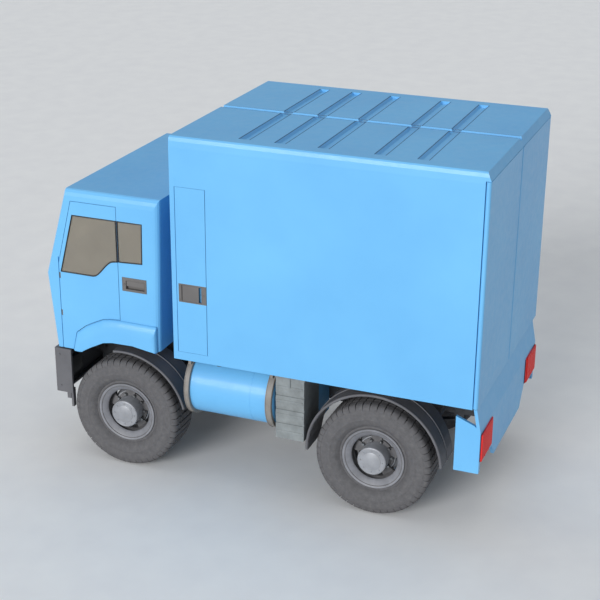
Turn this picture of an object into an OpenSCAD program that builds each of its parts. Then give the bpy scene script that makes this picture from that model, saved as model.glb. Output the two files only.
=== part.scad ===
// Cab-over mail delivery truck: tilting two-door cab, closed cargo box with a side locker and
// two rear doors, ladder frame, leaf-sprung axles and four wide single wheels.
// X runs to the truck's left, Y to its rear and Z up. The origin is on the ground, on the centre
// line, halfway between the foremost and the rearmost point.

/* [Overall] */
// Width of the cargo box
box_w = 2300; // [1900:10:2600]
// Height of the cargo box roof above the ground
overall_h = 3393; // [2800:1:4100]
// Distance between the axles
wheelbase = 2513; // [2100:1:3100]
// Front axle to the foremost point of the cab
front_overhang = 776; // [776:1:800]
// Rear axle to the rearmost face of the tail lamps
rear_overhang = 1002; // [900:1:1200]

/* [Wheels] */
// Rolling radius of the tyres
tyre_r = 550; // [520:1:560]
// Width of the tyres
tyre_w = 400; // [330:1:420]
// Outer face of the tyres inside the side of the box
tyre_inset = 64; // [40:1:100]
// Radius of the rim flange
rim_r = 298; // [280:1:305]
// Radius of the hub end that shows
hub_r = 136; // [115:1:150]

/* [Frame] */
// Width over the frame rails
frame_w = 800; // [760:1:840]
// Height of the rails' lower edge above the ground
rail_z = 830; // [800:1:860]
// Height of a rail's section
rail_h = 230; // [190:1:240]
// Width of a rail's flange
rail_flange = 80; // [60:1:90]
// Thickness of the rails and crossmembers
rail_t = 10; // [6:1:12]

/* [Cargo box] */
// Front axle to the front face of the box
box_setback = 583; // [560:1:640]
// Underside of the box above the ground
box_z = 1268; // [1240:1:1320]
// Thickness of the walls and of the locker door
wall_t = 40; // [36:1:50]
// Thickness of the rear doors
rear_door_t = 44; // [40:1:50]
// Thickness of the box floor
floor_t = 90; // [70:1:110]
// Thickness of the roof at its edge
roof_t = 60; // [54:1:80]
// Depth of the pressed roof channels
groove_d = 26; // [10:1:30]
// Gap around doors and lids
seam = 5; // [3:0.5:8]

/* [Locker] */
// Front face of the box to the locker door
locker_y = 47; // [40:1:120]
// Width of the locker door
locker_w = 296; // [240:1:400]
// Underside of the box to the locker door
locker_z = 82; // [70:1:140]
// Height of the locker door
locker_h = 1586; // [1300:1:1700]
// Depth of the locker behind its door
locker_d = 420; // [300:1:500]

/* [Cab] */
// Width of the cab
cab_w = 2160; // [1900:10:2240]
// Height of the cab roof above the ground
cab_top = 2753; // [2700:1:2900]
// Height of the ridge below the windscreen
ridge_z = 1896; // [1880:1:1910]
// Thickness of the cab's panels and doors
skin = 32; // [28:1:36]
// Gap between the cab's rear wall and the box, at the roof
cab_gap = 150; // [120:1:220]
// How far the wheel flares stand out
flare = 36; // [20:1:45]

/* [Hidden] */
$fn = 64;

// Colours
body_blue = "#7CC4F4";
dark_steel = "#3A3C40";
grey_plastic = "#66666B";
tyre_grey = "#5C5C61";
rim_grey = "#77777D";
hub_grey = "#9698A0";
taupe = "#87827D";
lamp_red = "#AF3730";
tint = "#8C8478";

// Driving lines
overall_l = front_overhang + wheelbase + rear_overhang;
front_y = -overall_l / 2;
fa = front_y + front_overhang;          // front axle
ra = fa + wheelbase;                    // rear axle
box_y0 = fa + box_setback;
lamp_proud = 17;
valance_step = 24;
box_y1 = overall_l / 2 - lamp_proud - valance_step;
box_x = box_w / 2;
cab_x = cab_w / 2;
rail_x = frame_w / 2;
rail_top = rail_z + rail_h;
fit = 0.05;                             // radial clearance of a running pin
clear = 3;                              // clearance between parts that swing past each other

// ---------- helpers ----------

module block(x, y, z) translate([x[0], y[0], z[0]]) cube([x[1] - x[0], y[1] - y[0], z[1] - z[0]]);
module both_sides() { children(); mirror([1, 0, 0]) children(); }
// An outline in Y and Z, thick along X
module side_plate(outline, x) translate([x[0], 0, 0]) rotate([90, 0, 90])
    linear_extrude(x[1] - x[0]) polygon(outline);
// An outline in X and Z, thick along Y
module cross_plate(outline, y) translate([0, y[1], 0]) rotate([90, 0, 0])
    linear_extrude(y[1] - y[0]) polygon(outline);
module rod_x(r, x, y, z) translate([x[0], y, z]) rotate([0, 90, 0]) cylinder(r = r, h = x[1] - x[0]);
module rod_y(r, x, y, z) translate([x, y[0], z]) rotate([-90, 0, 0]) cylinder(r = r, h = y[1] - y[0]);
module rod_z(r, x, y, z) translate([x, y, z[0]]) cylinder(r = r, h = z[1] - z[0]);
// A solid of revolution about a line along X, from an outline in radius and X
module spun(outline, x, y, z) translate([x, y, z]) rotate([0, 90, 0]) rotate_extrude() polygon(outline);

function smooth(t) = t * t * (3 - 2 * t);
function inward(p, q) = let (d = (q - p) / norm(q - p)) [d[1], -d[0]];
// A clockwise outline with each edge moved inwards by its own distance
function moved_in(p, d) = let (n = len(p)) [for (i = [0:n - 1])
    let (h = (i + n - 1) % n, a = inward(p[h], p[i]), b = inward(p[i], p[(i + 1) % n]),
         det = a[0] * b[1] - a[1] * b[0])
    p[i] + [(d[h] * b[1] - d[i] * a[1]) / det, (a[0] * d[i] - b[0] * d[h]) / det]];

// ---------- frame ----------

spring_w = rail_flange - 22;
front_spring_l = 1120;
rear_spring_l = 1240;
eye_z = rail_z - 40;
eye_r = 26;
eye_pin = 12;
rail_y0 = fa - 640;
rail_y1 = box_y1 - 20;

module hanger(y) for (x = [rail_x - rail_flange, rail_x - 10])
    difference() {
        block([x, x + 10], [y - 42, y + 42], [eye_z - 38, rail_z + 4]);
        rod_x(eye_pin + fit, [x - 1, x + 11], y, eye_z);
    }

module frame_rails() color(dark_steel) both_sides() {
    cross_plate([[rail_x, rail_z], [rail_x, rail_top], [rail_x - rail_flange, rail_top],
        [rail_x - rail_flange, rail_top - rail_t], [rail_x - rail_t, rail_top - rail_t],
        [rail_x - rail_t, rail_z + rail_t], [rail_x - rail_flange, rail_z + rail_t],
        [rail_x - rail_flange, rail_z]], [rail_y0, rail_y1]);
    for (y = [fa - front_spring_l / 2, fa + front_spring_l / 2,
              ra - rear_spring_l / 2, ra + rear_spring_l / 2]) hanger(y);
}

hinge_y = fa - 679;                     // cab tilt pin
hinge_z = 1156;
hinge_pin = 10;
hinge_ear = [300, 420];
ear_t = 16;
ear_r = 16;

// Ladder rungs between the rails, and the ears that carry the cab's tilt pins
module crossmembers() color(dark_steel) {
    inner = rail_x - rail_t;
    for (y = [rail_y0 + 10, fa + 1060, ra - 420, ra + 330, rail_y1 - 90])
        difference() {
            block([-inner, inner], [y, y + 80], [rail_z + 40, rail_top - rail_t]);
            block([-inner - 1, inner + 1], [y + rail_t, y + 81], [rail_z + 50, rail_top - 2 * rail_t]);
        }
    both_sides() {
        for (x = [hinge_ear[0] - ear_t, hinge_ear[1]]) {
            side_plate([[rail_y0, rail_z + 60], [rail_y0 + 90, rail_z + 60],
                [rail_y0 + 90, rail_top], [hinge_y + ear_r, hinge_z], [hinge_y - ear_r, hinge_z],
                [hinge_y - 10, rail_top - 40]], [x, x + ear_t]);
            rod_x(ear_r, [x, x + ear_t], hinge_y, hinge_z);
        }
        rod_x(hinge_pin, [hinge_ear[0] - 24, hinge_ear[1] + 24], hinge_y, hinge_z);
        block([rail_x, hinge_ear[1] + ear_t], [rail_y0, rail_y0 + 10], [rail_z + 60, rail_top]);
    }
}

// ---------- front bumper and lamps ----------

bumper_y0 = fa - 742;
bumper_x = cab_x - 4;
bumper_z = [663, 1126];
bumper_t = 26;
bumper_side = 175;
tow_r = 17;
headlamp_x = [690, 990];
headlamp_z = [760, 940];

module front_bumper() color(grey_plastic) difference() {
    union() {
        cross_plate([[-bumper_x, bumper_z[0]], [bumper_x, bumper_z[0]], [bumper_x, bumper_z[1]],
            [-bumper_x, bumper_z[1]]], [bumper_y0, bumper_y0 + bumper_t]);
        both_sides() {
            block([bumper_x - bumper_t, bumper_x], [bumper_y0, bumper_y0 + bumper_side], bumper_z);
            // Step under the corner, and the narrow bracket behind it
            block([bumper_x - 90, bumper_x - 6], [bumper_y0 + 108, bumper_y0 + 150],
                  [bumper_z[0] - 62, bumper_z[0]]);
            block([bumper_x - 60, bumper_x - 12], [bumper_y0 + 150, bumper_y0 + bumper_side - 4],
                  [bumper_z[0] - 150, bumper_z[0] + 40]);
            // Arm back to the rail
            block([rail_x - 70, rail_x], [bumper_y0 + bumper_t, rail_y0], [rail_z + 20, rail_top - 60]);
        }
        block([-bumper_x, bumper_x], [bumper_y0, bumper_y0 + 40], [bumper_z[1] - bumper_t, bumper_z[1]]);
        block([-bumper_x, bumper_x], [bumper_y0, bumper_y0 + 80], [bumper_z[0], bumper_z[0] + bumper_t]);
        rod_y(34, -180, [bumper_y0, bumper_y0 + 60], 800);
    }
    rod_y(tow_r, -180, [bumper_y0 - 1, bumper_y0 + 61], 800);
    both_sides() block([headlamp_x[0] - 1, headlamp_x[1] + 1], [bumper_y0 - 1, bumper_y0 + bumper_t + 1],
                       [headlamp_z[0] - 1, headlamp_z[1] + 1]);
}

module headlamps() color("#D8DDE0") both_sides()
    block(headlamp_x, [bumper_y0 + 3, bumper_y0 + 70], headlamp_z);

// ---------- rear valance and tail lamps ----------

val_y = box_y1 + valance_step;          // rear face
val_x = cab_x + 5;
val_t = 30;
val_wrap = 226;                         // length of the wrapped ends
val_crease = 1028;
val_bottom = 543;
val_end_z = 625;
lamp_x = [660, 1060];
lamp_z = [738, 1003];

module rear_valance() color(body_blue) {
    cross_plate([[-505, val_bottom], [505, val_bottom], [690, lamp_z[0] + 26],
        [val_x - 50, lamp_z[0] + 26], [val_x - 50, val_end_z], [val_x, val_end_z],
        [val_x, val_crease], [-val_x, val_crease], [-val_x, val_end_z], [-val_x + 50, val_end_z],
        [-val_x + 50, lamp_z[0] + 26], [-690, lamp_z[0] + 26]], [val_y - val_t, val_y]);
    // Sloping apron up to the box
    side_plate([[val_y, val_crease], [val_y - 46, box_z - 8], [val_y - 46 - val_t, box_z - 8],
        [val_y - val_t, val_crease]], [-val_x, val_x]);
    // End boxes that wrap forward
    both_sides() side_plate([[val_y - val_wrap, val_end_z], [val_y, val_end_z],
        [val_y, val_crease], [val_y - 55, 1085], [val_y - val_wrap, 1153]], [val_x - val_t, val_x]);
}

module tail_lamps() color(lamp_red) both_sides() {
    block([lamp_x[0] + 30, lamp_x[1]], [val_y, val_y + lamp_proud], [lamp_z[0], lamp_z[1] - 6]);
    block([lamp_x[0], lamp_x[0] + 30], [val_y, val_y + 10], [lamp_z[0] + 4, lamp_z[1] - 10]);
}

// ---------- side gear ----------

guard_r = [628, 650];
guard_x = [700, cab_x - 20];
bat_l = 277;
bat_y1 = ra - guard_r[1] - 14;
bat_y0 = bat_y1 - bat_l;
tank_r = 300;
tank_x = 800;
tank_z = 930;
band_r = 326;
tank_y = [box_y0 + 76, bat_y0 - 22];
band_y = [[tank_y[0] + 2, tank_y[0] + 52], [tank_y[1] - 68, tank_y[1] - 6]];

module fuel_tank() color(body_blue) {
    translate([tank_x, tank_y[0], tank_z]) rotate([-90, 0, 0]) rotate_extrude()
        polygon([[0, 0], [tank_r - 40, 0], [tank_r - 12, 8], [tank_r, 30],
            [tank_r, tank_y[1] - tank_y[0] - 30], [tank_r - 12, tank_y[1] - tank_y[0] - 8],
            [tank_r - 40, tank_y[1] - tank_y[0]], [0, tank_y[1] - tank_y[0]]]);
}

// Broad end bands with the brackets that hang the tank on the rail
module tank_bands() color(taupe) for (y = band_y) difference() {
    union() {
        rod_y(band_r, tank_x, y, tank_z);
        block([rail_x, tank_x - 240], [y[0] + 4, y[1] - 4], [tank_z - 95, tank_z + 95]);
    }
    rod_y(tank_r + 0.4, tank_x, [y[0] - 1, y[1] + 1], tank_z);
}

module battery_box() color(dark_steel) difference() {
    block([rail_x + 290, cab_x - 6], [bat_y0, bat_y1], [606, 1244]);
    for (z = [760, 900, 1040]) block([cab_x - 14, cab_x], [bat_y0 - 1, bat_y1 + 1], [z, z + 24]);
}

module tool_box() color(body_blue) block([rail_x, rail_x + 280], [bat_y0 + 20, bat_y1], [640, 1200]);

// Two compressed-air reservoirs on the right side
module air_tanks() color(dark_steel) {
    for (z = [730, 980]) rod_y(110, -(rail_x + 180), [box_y0 + 90, box_y0 + 690], z);
    for (y = [box_y0 + 180, box_y0 + 560])
        block([-(rail_x + 80), -rail_x], [y, y + 40], [rail_z - 60, rail_top - 20]);
}

module silencer() color("#77787A") {
    rod_y(190, -(rail_x + 330), [bat_y0 - 260, bat_y1 - 30], 860);
    rod_y(45, -(rail_x + 330), [bat_y0 - 420, bat_y0 - 260], 800);
    block([-(rail_x + 160), -rail_x], [bat_y0 - 60, bat_y0], [rail_z + 30, rail_top - 40]);
}

// An arch over a wheel, between two angles measured up from the rear
module guard(y, from, to) {
    steps = 20;
    arc = [for (i = [0:steps]) from + (to - from) * i / steps];
    side_plate(concat(
        [for (a = arc) [y + guard_r[1] * cos(a), tyre_r + guard_r[1] * sin(a)]],
        [for (i = [steps:-1:0]) [y + guard_r[0] * cos(arc[i]), tyre_r + guard_r[0] * sin(arc[i])]]),
        guard_x);
    // Stay from the arch to the rail
    rod_x(18, [rail_x, guard_x[0] + 40], y + 500, tyre_r + 370);
}

module mudguards() color(grey_plastic) both_sides() {
    guard(fa, 14, 100);
    guard(ra, 4, 182);
}

// ---------- engine, gearbox, radiator ----------

shaft_z = 600;
gearbox_end = fa + 1010;

// Engine with its fan, gearbox behind it, and the radiator on its own crossbar in front
module powertrain() color("#5E6266") {
    block([-300, 300], [fa - 530, fa - 470], [700, 1230]);
    block([-rail_x + rail_t, rail_x - rail_t], [fa - 530, fa - 470], [rail_z + 20, rail_z + 60]);
    block([-230, 230], [fa - 400, fa + 350], [640, 1150]);
    block([-170, 170], [fa - 380, fa + 330], [575, 640]);
    block([-150, 150], [fa - 390, fa + 340], [1150, 1270]);
    rod_y(250, 0, [fa - 440, fa - 415], 930);
    rod_y(40, 0, [fa - 416, fa - 399], 930);
    rod_y(230, 0, [fa + 349, fa + 500], 800);
    block([-150, 150], [fa + 499, gearbox_end - 60], [500, 850]);
    rod_y(70, 0, [gearbox_end - 61, gearbox_end], shaft_z);
}

// ---------- axles, springs and shaft ----------

leaf_t = 17;
leaf_in = 11;                           // leaves in from the rail flange's edge
front_sag = 150;
rear_sag = 75;

// Leaves stacked under the main leaf, each a fifth shorter than the one above
module spring(y, length, sag) {
    half = length / 2;
    x0 = rail_x - rail_flange + leaf_in;
    for (i = [0:3]) {
        curve = [for (s = [-1 + 0.2 * i:0.1:1.01 - 0.2 * i]) [y + s * half,
            eye_z - eye_r - sag * (1 - s * s) - (leaf_t - 1) * i + leaf_t / 2]];
        side_plate(concat(curve, [for (k = [len(curve) - 1:-1:0]) curve[k] - [0, leaf_t]]),
                   [x0, x0 + spring_w]);
    }
    for (s = [-1, 1]) difference() {
        rod_x(eye_r, [x0 - 1, x0 + spring_w + 1], y + s * half, eye_z);
        rod_x(eye_pin + fit, [x0 - 2, x0 + spring_w + 2], y + s * half, eye_z);
    }
}
// Underside of a spring pack at its axle
function seat_under(sag) = eye_z - eye_r - sag - 2.5 * leaf_t + 3 - leaf_t;
seat_x0 = rail_x - rail_flange + leaf_in;
// Pad between an axle and the pack above it
module spring_seat(y, bottom, sag)
    block([seat_x0, rail_x - leaf_in], [y - 60, y + 60], [bottom, seat_under(sag)]);

module leaf_springs() color(dark_steel) both_sides() {
    spring(fa, front_spring_l, front_sag);
    spring(ra, rear_spring_l, rear_sag);
    for (y = [fa - front_spring_l / 2, fa + front_spring_l / 2,
              ra - rear_spring_l / 2, ra + rear_spring_l / 2])
        rod_x(eye_pin, [rail_x - rail_flange - 6, rail_x + 6], y, eye_z);
}

wheel_x = box_x - tyre_inset;           // outer face of the tyres
wheel_mid = wheel_x - tyre_w / 2;
king_x = wheel_mid - 126;
king_r = 24;
spindle_r = 38;
axle_z = 440;                           // underside of the front axle's beam
axle_h = 90;
eye = [tyre_r - 45, tyre_r + 45];       // beam's eye round the kingpin
yoke_t = 45;                            // thickness of the knuckle's cheeks
arm_t = 26;

module front_axle() color(dark_steel) {
    beam = [[0, axle_z], [rail_x + 20, axle_z], [king_x - 60, eye[0]], [king_x, eye[0]],
        [king_x, eye[1]], [king_x - 90, eye[1]], [rail_x + 10, axle_z + axle_h],
        [0, axle_z + axle_h]];
    both_sides() {
        difference() {
            union() {
                cross_plate(beam, [fa - 42, fa + 42]);
                rod_z(42, king_x, fa, eye);
            }
            rod_z(king_r + fit, king_x, fa, eye + [-1, 1]);
        }
        spring_seat(fa, axle_z + axle_h, front_sag);
    }
}

pinion_l = 330;
drum_r = 205;
drum_in = 98;                           // open side of the drum inside the wheel's middle

module rear_axle() color(dark_steel) {
    translate([0, ra, tyre_r]) sphere(r = 175);
    tube_end = wheel_mid - drum_in - 12;
    rod_x(72, [-tube_end, tube_end], ra, tyre_r);
    both_sides() {
        rod_x(spindle_r, [tube_end - 1, wheel_mid + 40], ra, tyre_r);
        spring_seat(ra, tyre_r + 60, rear_sag);
    }
    rod_y(88, 0, [ra - pinion_l, ra - 120], shaft_z);
}

// Tube with a flange and a universal joint at each end
module prop_shaft() color("#55585C") {
    y0 = gearbox_end + 0.5;
    y1 = ra - pinion_l - 0.5;
    rod_y(66, 0, [y0, y0 + 20], shaft_z);
    rod_y(38, 0, [y0 + 19, y0 + 130], shaft_z);
    rod_y(50, 0, [y0 + 129, y1 - 129], shaft_z);
    rod_y(38, 0, [y1 - 130, y1 - 19], shaft_z);
    rod_y(66, 0, [y1 - 20, y1], shaft_z);
}

arm_y = fa + 190;
ball_r = 14;
boss_r = 22;
yoke_x = [king_x + 46, king_x + 70];
arm_z = eye[0] - 5 - yoke_t;            // underside of the track-rod arm

// Fork on the kingpin, spindle for the wheel, and the track-rod arm
module knuckle() {
    rod_z(king_r, king_x, fa, [arm_z + 5, eye[1] + yoke_t]);
    for (z = [arm_z, eye[1] + 5]) {
        rod_z(46, king_x, fa, [z, z + yoke_t]);
        block([king_x, yoke_x[1]], [fa - 46, fa + 46], [z, z + yoke_t]);
    }
    block(yoke_x, [fa - 46, fa + 46], [arm_z, eye[1] + 5 + yoke_t]);
    rod_x(spindle_r, [yoke_x[1] - 2, wheel_mid + 40], fa, tyre_r);
    difference() {
        union() {
            translate([0, 0, arm_z]) linear_extrude(arm_t) polygon([[king_x - 30, fa + 20],
                [king_x + 50, fa + 20], [king_x + 50, fa + 46], [king_x + 18, arm_y],
                [king_x - 18, arm_y]]);
            rod_z(boss_r, king_x, arm_y, [arm_z, arm_z + arm_t]);
        }
        rod_z(ball_r + fit, king_x, arm_y, [arm_z - 1, arm_z + arm_t + 1]);
    }
}

module knuckle_left() color(dark_steel) knuckle();
module knuckle_right() color(dark_steel) mirror([1, 0, 0]) knuckle();

// Rod between the two arms, on upright ball pins
module tie_rod() color("#55585C") {
    both_sides() {
        rod_z(ball_r, king_x, arm_y, [arm_z - 10, arm_z + arm_t + 2]);
        rod_z(boss_r, king_x, arm_y, [arm_z - 46, arm_z - 5]);
    }
    rod_x(16, [-king_x, king_x], arm_y, arm_z - 26);
}

// ---------- wheels ----------

bead_w = 150;                           // half the rim's width
rim_seat = rim_r - 16;
disc_x = 62;                            // wheel disc outside the wheel's middle
disc_t = 22;

// Outside of the carcass from bead to tread: radius and distance from the wheel's middle
wall_line = [[rim_seat + 0.5, 92], [rim_seat + 0.5, bead_w - 14], [rim_r + 26, bead_w - 1],
    [rim_r + 60, tyre_w / 2 - 16], [rim_r + 120, tyre_w / 2], [tyre_r - 62, tyre_w / 2],
    [tyre_r - 32, tyre_w / 2 - 6], [tyre_r - 8, tyre_w / 2 - 24], [tyre_r, tyre_w / 2 - 48]];
inner_line = [[rim_seat, 92], [rim_r + 30, 92], [rim_r + 70, tyre_w / 2 - 40],
    [rim_r + 120, tyre_w / 2 - 24], [tyre_r - 70, tyre_w / 2 - 24], [tyre_r - 36, tyre_w / 2 - 60]];
tread_grooves = [105, 35, -35, -105];
groove_w = 16;
groove_in = 17;
groove_line = [for (g = tread_grooves) for (q = [[0, groove_w / 2], [groove_in, groove_w / 2 - 3],
    [groove_in, 3 - groove_w / 2], [0, -groove_w / 2]]) [tyre_r - q[0], g + q[1]]];

function mirrored(p) = [for (i = [len(p) - 1:-1:0]) [p[i][0], -p[i][1]]];

module tyre(y) difference() {
    spun(concat(wall_line, groove_line, mirrored(wall_line)), wheel_mid, y, tyre_r);
    spun(concat(inner_line, mirrored(inner_line)), wheel_mid, y, tyre_r);
}

// Rim barrel with flanges, and the dished disc with its vent openings
vents = 5;
vent_r = [168, 222];
vent_half = 20;                         // half a vent's angle
vent_cut = 120;
hub_gap = 0.4;
module rim(y) difference() {
    union() {
        spun([[rim_seat - 12, -bead_w - 6], [rim_r, -bead_w - 6], [rim_r, -bead_w + 4],
            [rim_seat, -bead_w + 10], [rim_seat, -92], [rim_seat - 34, -60], [rim_seat - 34, 40],
            [rim_seat, 92],
            [rim_seat, bead_w - 14], [rim_r, bead_w - 2], [rim_r, bead_w + 6], [rim_seat - 12, bead_w + 6],
            [rim_seat - 12, 84], [rim_seat - 46, 46], [rim_seat - 46, -52], [rim_seat - 12, -84]],
            wheel_mid, y, tyre_r);
        spun([[hub_r + hub_gap, disc_x - disc_t], [190, disc_x - disc_t], [rim_seat - 40, 20],
            [rim_seat - 40, 44], [200, disc_x], [hub_r + hub_gap, disc_x]], wheel_mid, y, tyre_r);
    }
    for (i = [0:vents - 1]) translate([wheel_mid, y, tyre_r]) rotate([0, 90, 0])
        rotate([0, 0, i * 360 / vents]) linear_extrude(vent_cut) polygon(concat(
            [for (a = [-vent_half:5:vent_half]) vent_r[1] * [cos(a), sin(a)]],
            [for (a = [vent_half:-5:-vent_half]) vent_r[0] * [cos(a), sin(a)]]));
}

// Brake drum, hub barrel and the round cap that stands out of the wheel
cap_x = 205;                            // face of the cap outside the wheel's middle
hub_face = disc_x - disc_t;
module hub(y) spun([[0, cap_x], [hub_r - 12, cap_x], [hub_r - 3, cap_x - 3], [hub_r, cap_x - 11],
    [hub_r, hub_face], [180, hub_face], [180, hub_face - 22], [drum_r, hub_face - 40],
    [drum_r, -drum_in], [drum_r - 24, -drum_in], [drum_r - 24, 0], [spindle_r + 24, 0],
    [spindle_r + 24, -50], [spindle_r + fit, -50], [spindle_r + fit, 44], [0, 44]],
    wheel_mid, y, tyre_r);

module left_tyre(y) color(tyre_grey) tyre(y);
module tyre_front_left() left_tyre(fa);
module tyre_front_right() mirror([1, 0, 0]) left_tyre(fa);
module tyre_rear_left() left_tyre(ra);
module tyre_rear_right() mirror([1, 0, 0]) left_tyre(ra);
module left_rim(y) color(rim_grey) rim(y);
module rim_front_left() left_rim(fa);
module rim_front_right() mirror([1, 0, 0]) left_rim(fa);
module rim_rear_left() left_rim(ra);
module rim_rear_right() mirror([1, 0, 0]) left_rim(ra);
module left_hub(y) color(hub_grey) hub(y);
module hub_front_left() left_hub(fa);
module hub_front_right() mirror([1, 0, 0]) left_hub(fa);
module hub_rear_left() left_hub(ra);
module hub_rear_right() mirror([1, 0, 0]) left_hub(ra);

// ---------- cargo box ----------

roof_bevel = [13, 99];                  // side edge of the roof, in and down
rear_bevel = [35, 79];                  // rear edge of the roof, in and down
side_top = overall_h - roof_bevel[1];
door_nose = rear_door_t / 2;            // round hinge edge of a rear door
door_axis = [box_x - door_nose, box_y1 - door_nose];
frame_y1 = box_y1 - rear_door_t - clear;
header_z = overall_h - rear_bevel[1];
groove_at = [660, 993, 1391, 1896, 2272];
groove_x = 1000;
locker_nose = 7;
locker_pin = 3.5;
locker_axis = [box_x - locker_nose, box_y0 + locker_y + locker_nose];
locker_zs = [box_z + locker_z, box_z + locker_z + locker_h];

sill_z = box_z + floor_t;
deck_t = 4;
deck_x = box_x - wall_t - 3;

// Floor panel with the sills and bearers that sit on the frame
module box_floor() color("#9AA0A4") {
    block([-box_x + wall_t, box_x - wall_t], [box_y0 + wall_t, frame_y1 - 60], [box_z, sill_z]);
    // Wear deck, clear of the walls and of the locker
    difference() {
        block([-deck_x, deck_x], [box_y0 + wall_t + 3, frame_y1 - 63], [sill_z - 1, sill_z + deck_t]);
        block([box_x - wall_t - locker_d - 3, deck_x + 1], [box_y0, box_y0 + locker_y + locker_w + 33],
              [sill_z, sill_z + deck_t + 1]);
    }
    both_sides() block([rail_x - rail_flange, rail_x], [box_y0 + 60, rail_y1 - 60], [rail_top, box_z - 60]);
    for (y = [box_y0 + 80:480:frame_y1 - 160])
        block([-rail_x - 60, rail_x + 60], [y, y + 60], [box_z - 60, box_z]);
}

module box_front_wall() color(body_blue)
    block([-box_x + wall_t, box_x - wall_t], [box_y0, box_y0 + wall_t], [box_z, overall_h - roof_t]);

// Side wall, ended where a rear door's round edge turns
module box_side() block([box_x - wall_t, box_x], [box_y0, frame_y1], [box_z, side_top]);

pin_l = 40;

// Room for a door's round hinge edge and for the door's face as it comes round
module edge_hollow(axis, face, r, z) {
    rod_z(r, axis[0], axis[1], z);
    block([axis[0], face + 1], [axis[1] - r, axis[1] + 1], z);
}

// Left wall with the locker's doorway and the pins that its door turns on
module box_side_left() color(body_blue) {
    difference() {
        box_side();
        block([box_x - wall_t - 1, box_x + 1],
              [locker_axis[1] - seam / 2, box_y0 + locker_y + locker_w + seam / 2],
              locker_zs + [-seam / 2, seam / 2]);
        edge_hollow(locker_axis, box_x, locker_nose + seam / 2, locker_zs + [-seam / 2, seam / 2]);
    }
    rod_z(locker_pin, locker_axis[0], locker_axis[1], [locker_zs[0] - seam, locker_zs[0] + pin_l - 4]);
    rod_z(locker_pin, locker_axis[0], locker_axis[1], [locker_zs[1] - pin_l + 4, locker_zs[1] + seam]);
}
module box_side_right() color(body_blue) mirror([1, 0, 0]) box_side();

// Section of the roof across the truck, down to a lower edge
function roof_arc() = [[-box_x, side_top], [-box_x + 4, side_top + 55],
    [-box_x + roof_bevel[0], overall_h - 12], [-box_x + roof_bevel[0] + 14, overall_h],
    [box_x - roof_bevel[0] - 14, overall_h], [box_x - roof_bevel[0], overall_h - 12],
    [box_x - 4, side_top + 55], [box_x, side_top]];

rear_pin = 9;
// Roof panel: bevelled edges, five pressed channels across it and one along its centre
module box_roof() color(body_blue) {
    difference() {
        union() {
            cross_plate(concat([[-box_x + wall_t, overall_h - roof_t], [-box_x + wall_t, side_top]],
                roof_arc(), [[box_x - wall_t, side_top], [box_x - wall_t, overall_h - roof_t]]),
                [box_y0, box_y1 - rear_bevel[0]]);
            both_sides() block([box_x - wall_t - 30, box_x - wall_t], [box_y0 + wall_t, frame_y1 - 60],
                               [overall_h - roof_t - 50, overall_h - roof_t]);
            // Rear header with its sloping top edge
            intersection() {
                side_plate([[frame_y1 - 60, header_z + seam / 2], [box_y1, header_z + seam / 2],
                    [box_y1 - rear_bevel[0], overall_h], [frame_y1 - 60, overall_h]], [-box_x, box_x]);
                cross_plate(roof_arc(), [box_y0, box_y1 + 1]);
            }
        }
        // Corners that the doors' round edges turn in
        both_sides() block([box_x - wall_t - 1, box_x + 1], [frame_y1, box_y1 + 1],
                           [side_top - 1, header_z + seam / 2]);
        for (g = groove_at) side_plate([[box_y0 + g - 50, overall_h + 1], [box_y0 + g + 50, overall_h + 1],
            [box_y0 + g + 30, overall_h - groove_d], [box_y0 + g - 30, overall_h - groove_d]],
            [-groove_x, groove_x]);
        cross_plate([[-36, overall_h + 1], [-22, overall_h - groove_d], [22, overall_h - groove_d],
            [36, overall_h + 1]], [box_y0 - 1, box_y1 + 1]);
    }
    // Upper pins of the rear doors
    both_sides() rod_z(rear_pin, door_axis[0], door_axis[1], [header_z - 56, header_z + seam]);
}

post_w = 70;
// Frame that the rear doors close against, with the brackets and lower pins that they turn on
module box_rear_frame() color("#7FA9C8") {
    both_sides() {
        block([box_x - wall_t - post_w, box_x - wall_t], [frame_y1 - 60, frame_y1],
              [box_z, overall_h - roof_t - 50]);
        block([box_x - wall_t - 50, box_x - wall_t], [frame_y1 - 1, door_axis[1] + 16], [box_z, box_z + 7]);
        block([box_x - wall_t - 1, door_axis[0]], [frame_y1 + 1, door_axis[1] + 16], [box_z, box_z + 7]);
        rod_z(16, door_axis[0], door_axis[1], [box_z, box_z + 7]);
        rod_z(rear_pin, door_axis[0], door_axis[1], [box_z, box_z + 58]);
    }
    block([-box_x + wall_t + post_w, box_x - wall_t - post_w], [frame_y1 - 60, frame_y1], [box_z, sill_z]);
    block([-box_x + wall_t, box_x - wall_t], [frame_y1 - 60, frame_y1],
          [overall_h - roof_t - 50, header_z + seam / 2]);
}

// Steel cupboard behind the side locker door
liner_t = 12;
module locker_liner() color("#9AA0A4") difference() {
    block([box_x - wall_t - locker_d, box_x - wall_t - 0.5],
          [box_y0 + wall_t, box_y0 + locker_y + locker_w + 30], [sill_z, locker_zs[1] + 30]);
    block([box_x - wall_t - locker_d + liner_t, box_x - wall_t + 1],
          [box_y0 + wall_t + liner_t, box_y0 + locker_y + locker_w + 30 - liner_t],
          [sill_z + liner_t, locker_zs[1] + 30 - liner_t]);
}

plate_y = [box_y0 + 66, box_y0 + locker_y + locker_w - 2];
plate_z = [box_z + 578, box_z + 757];
plate_d = 14;
lk_paddle_y = [box_y0 + 96, box_y0 + 292];
lk_paddle_z = [plate_z[0] + 14, plate_z[1] - 14];
lk_pin = 4;
lk_axis = [box_x - 9, lk_paddle_y[0] + 9];

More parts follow.
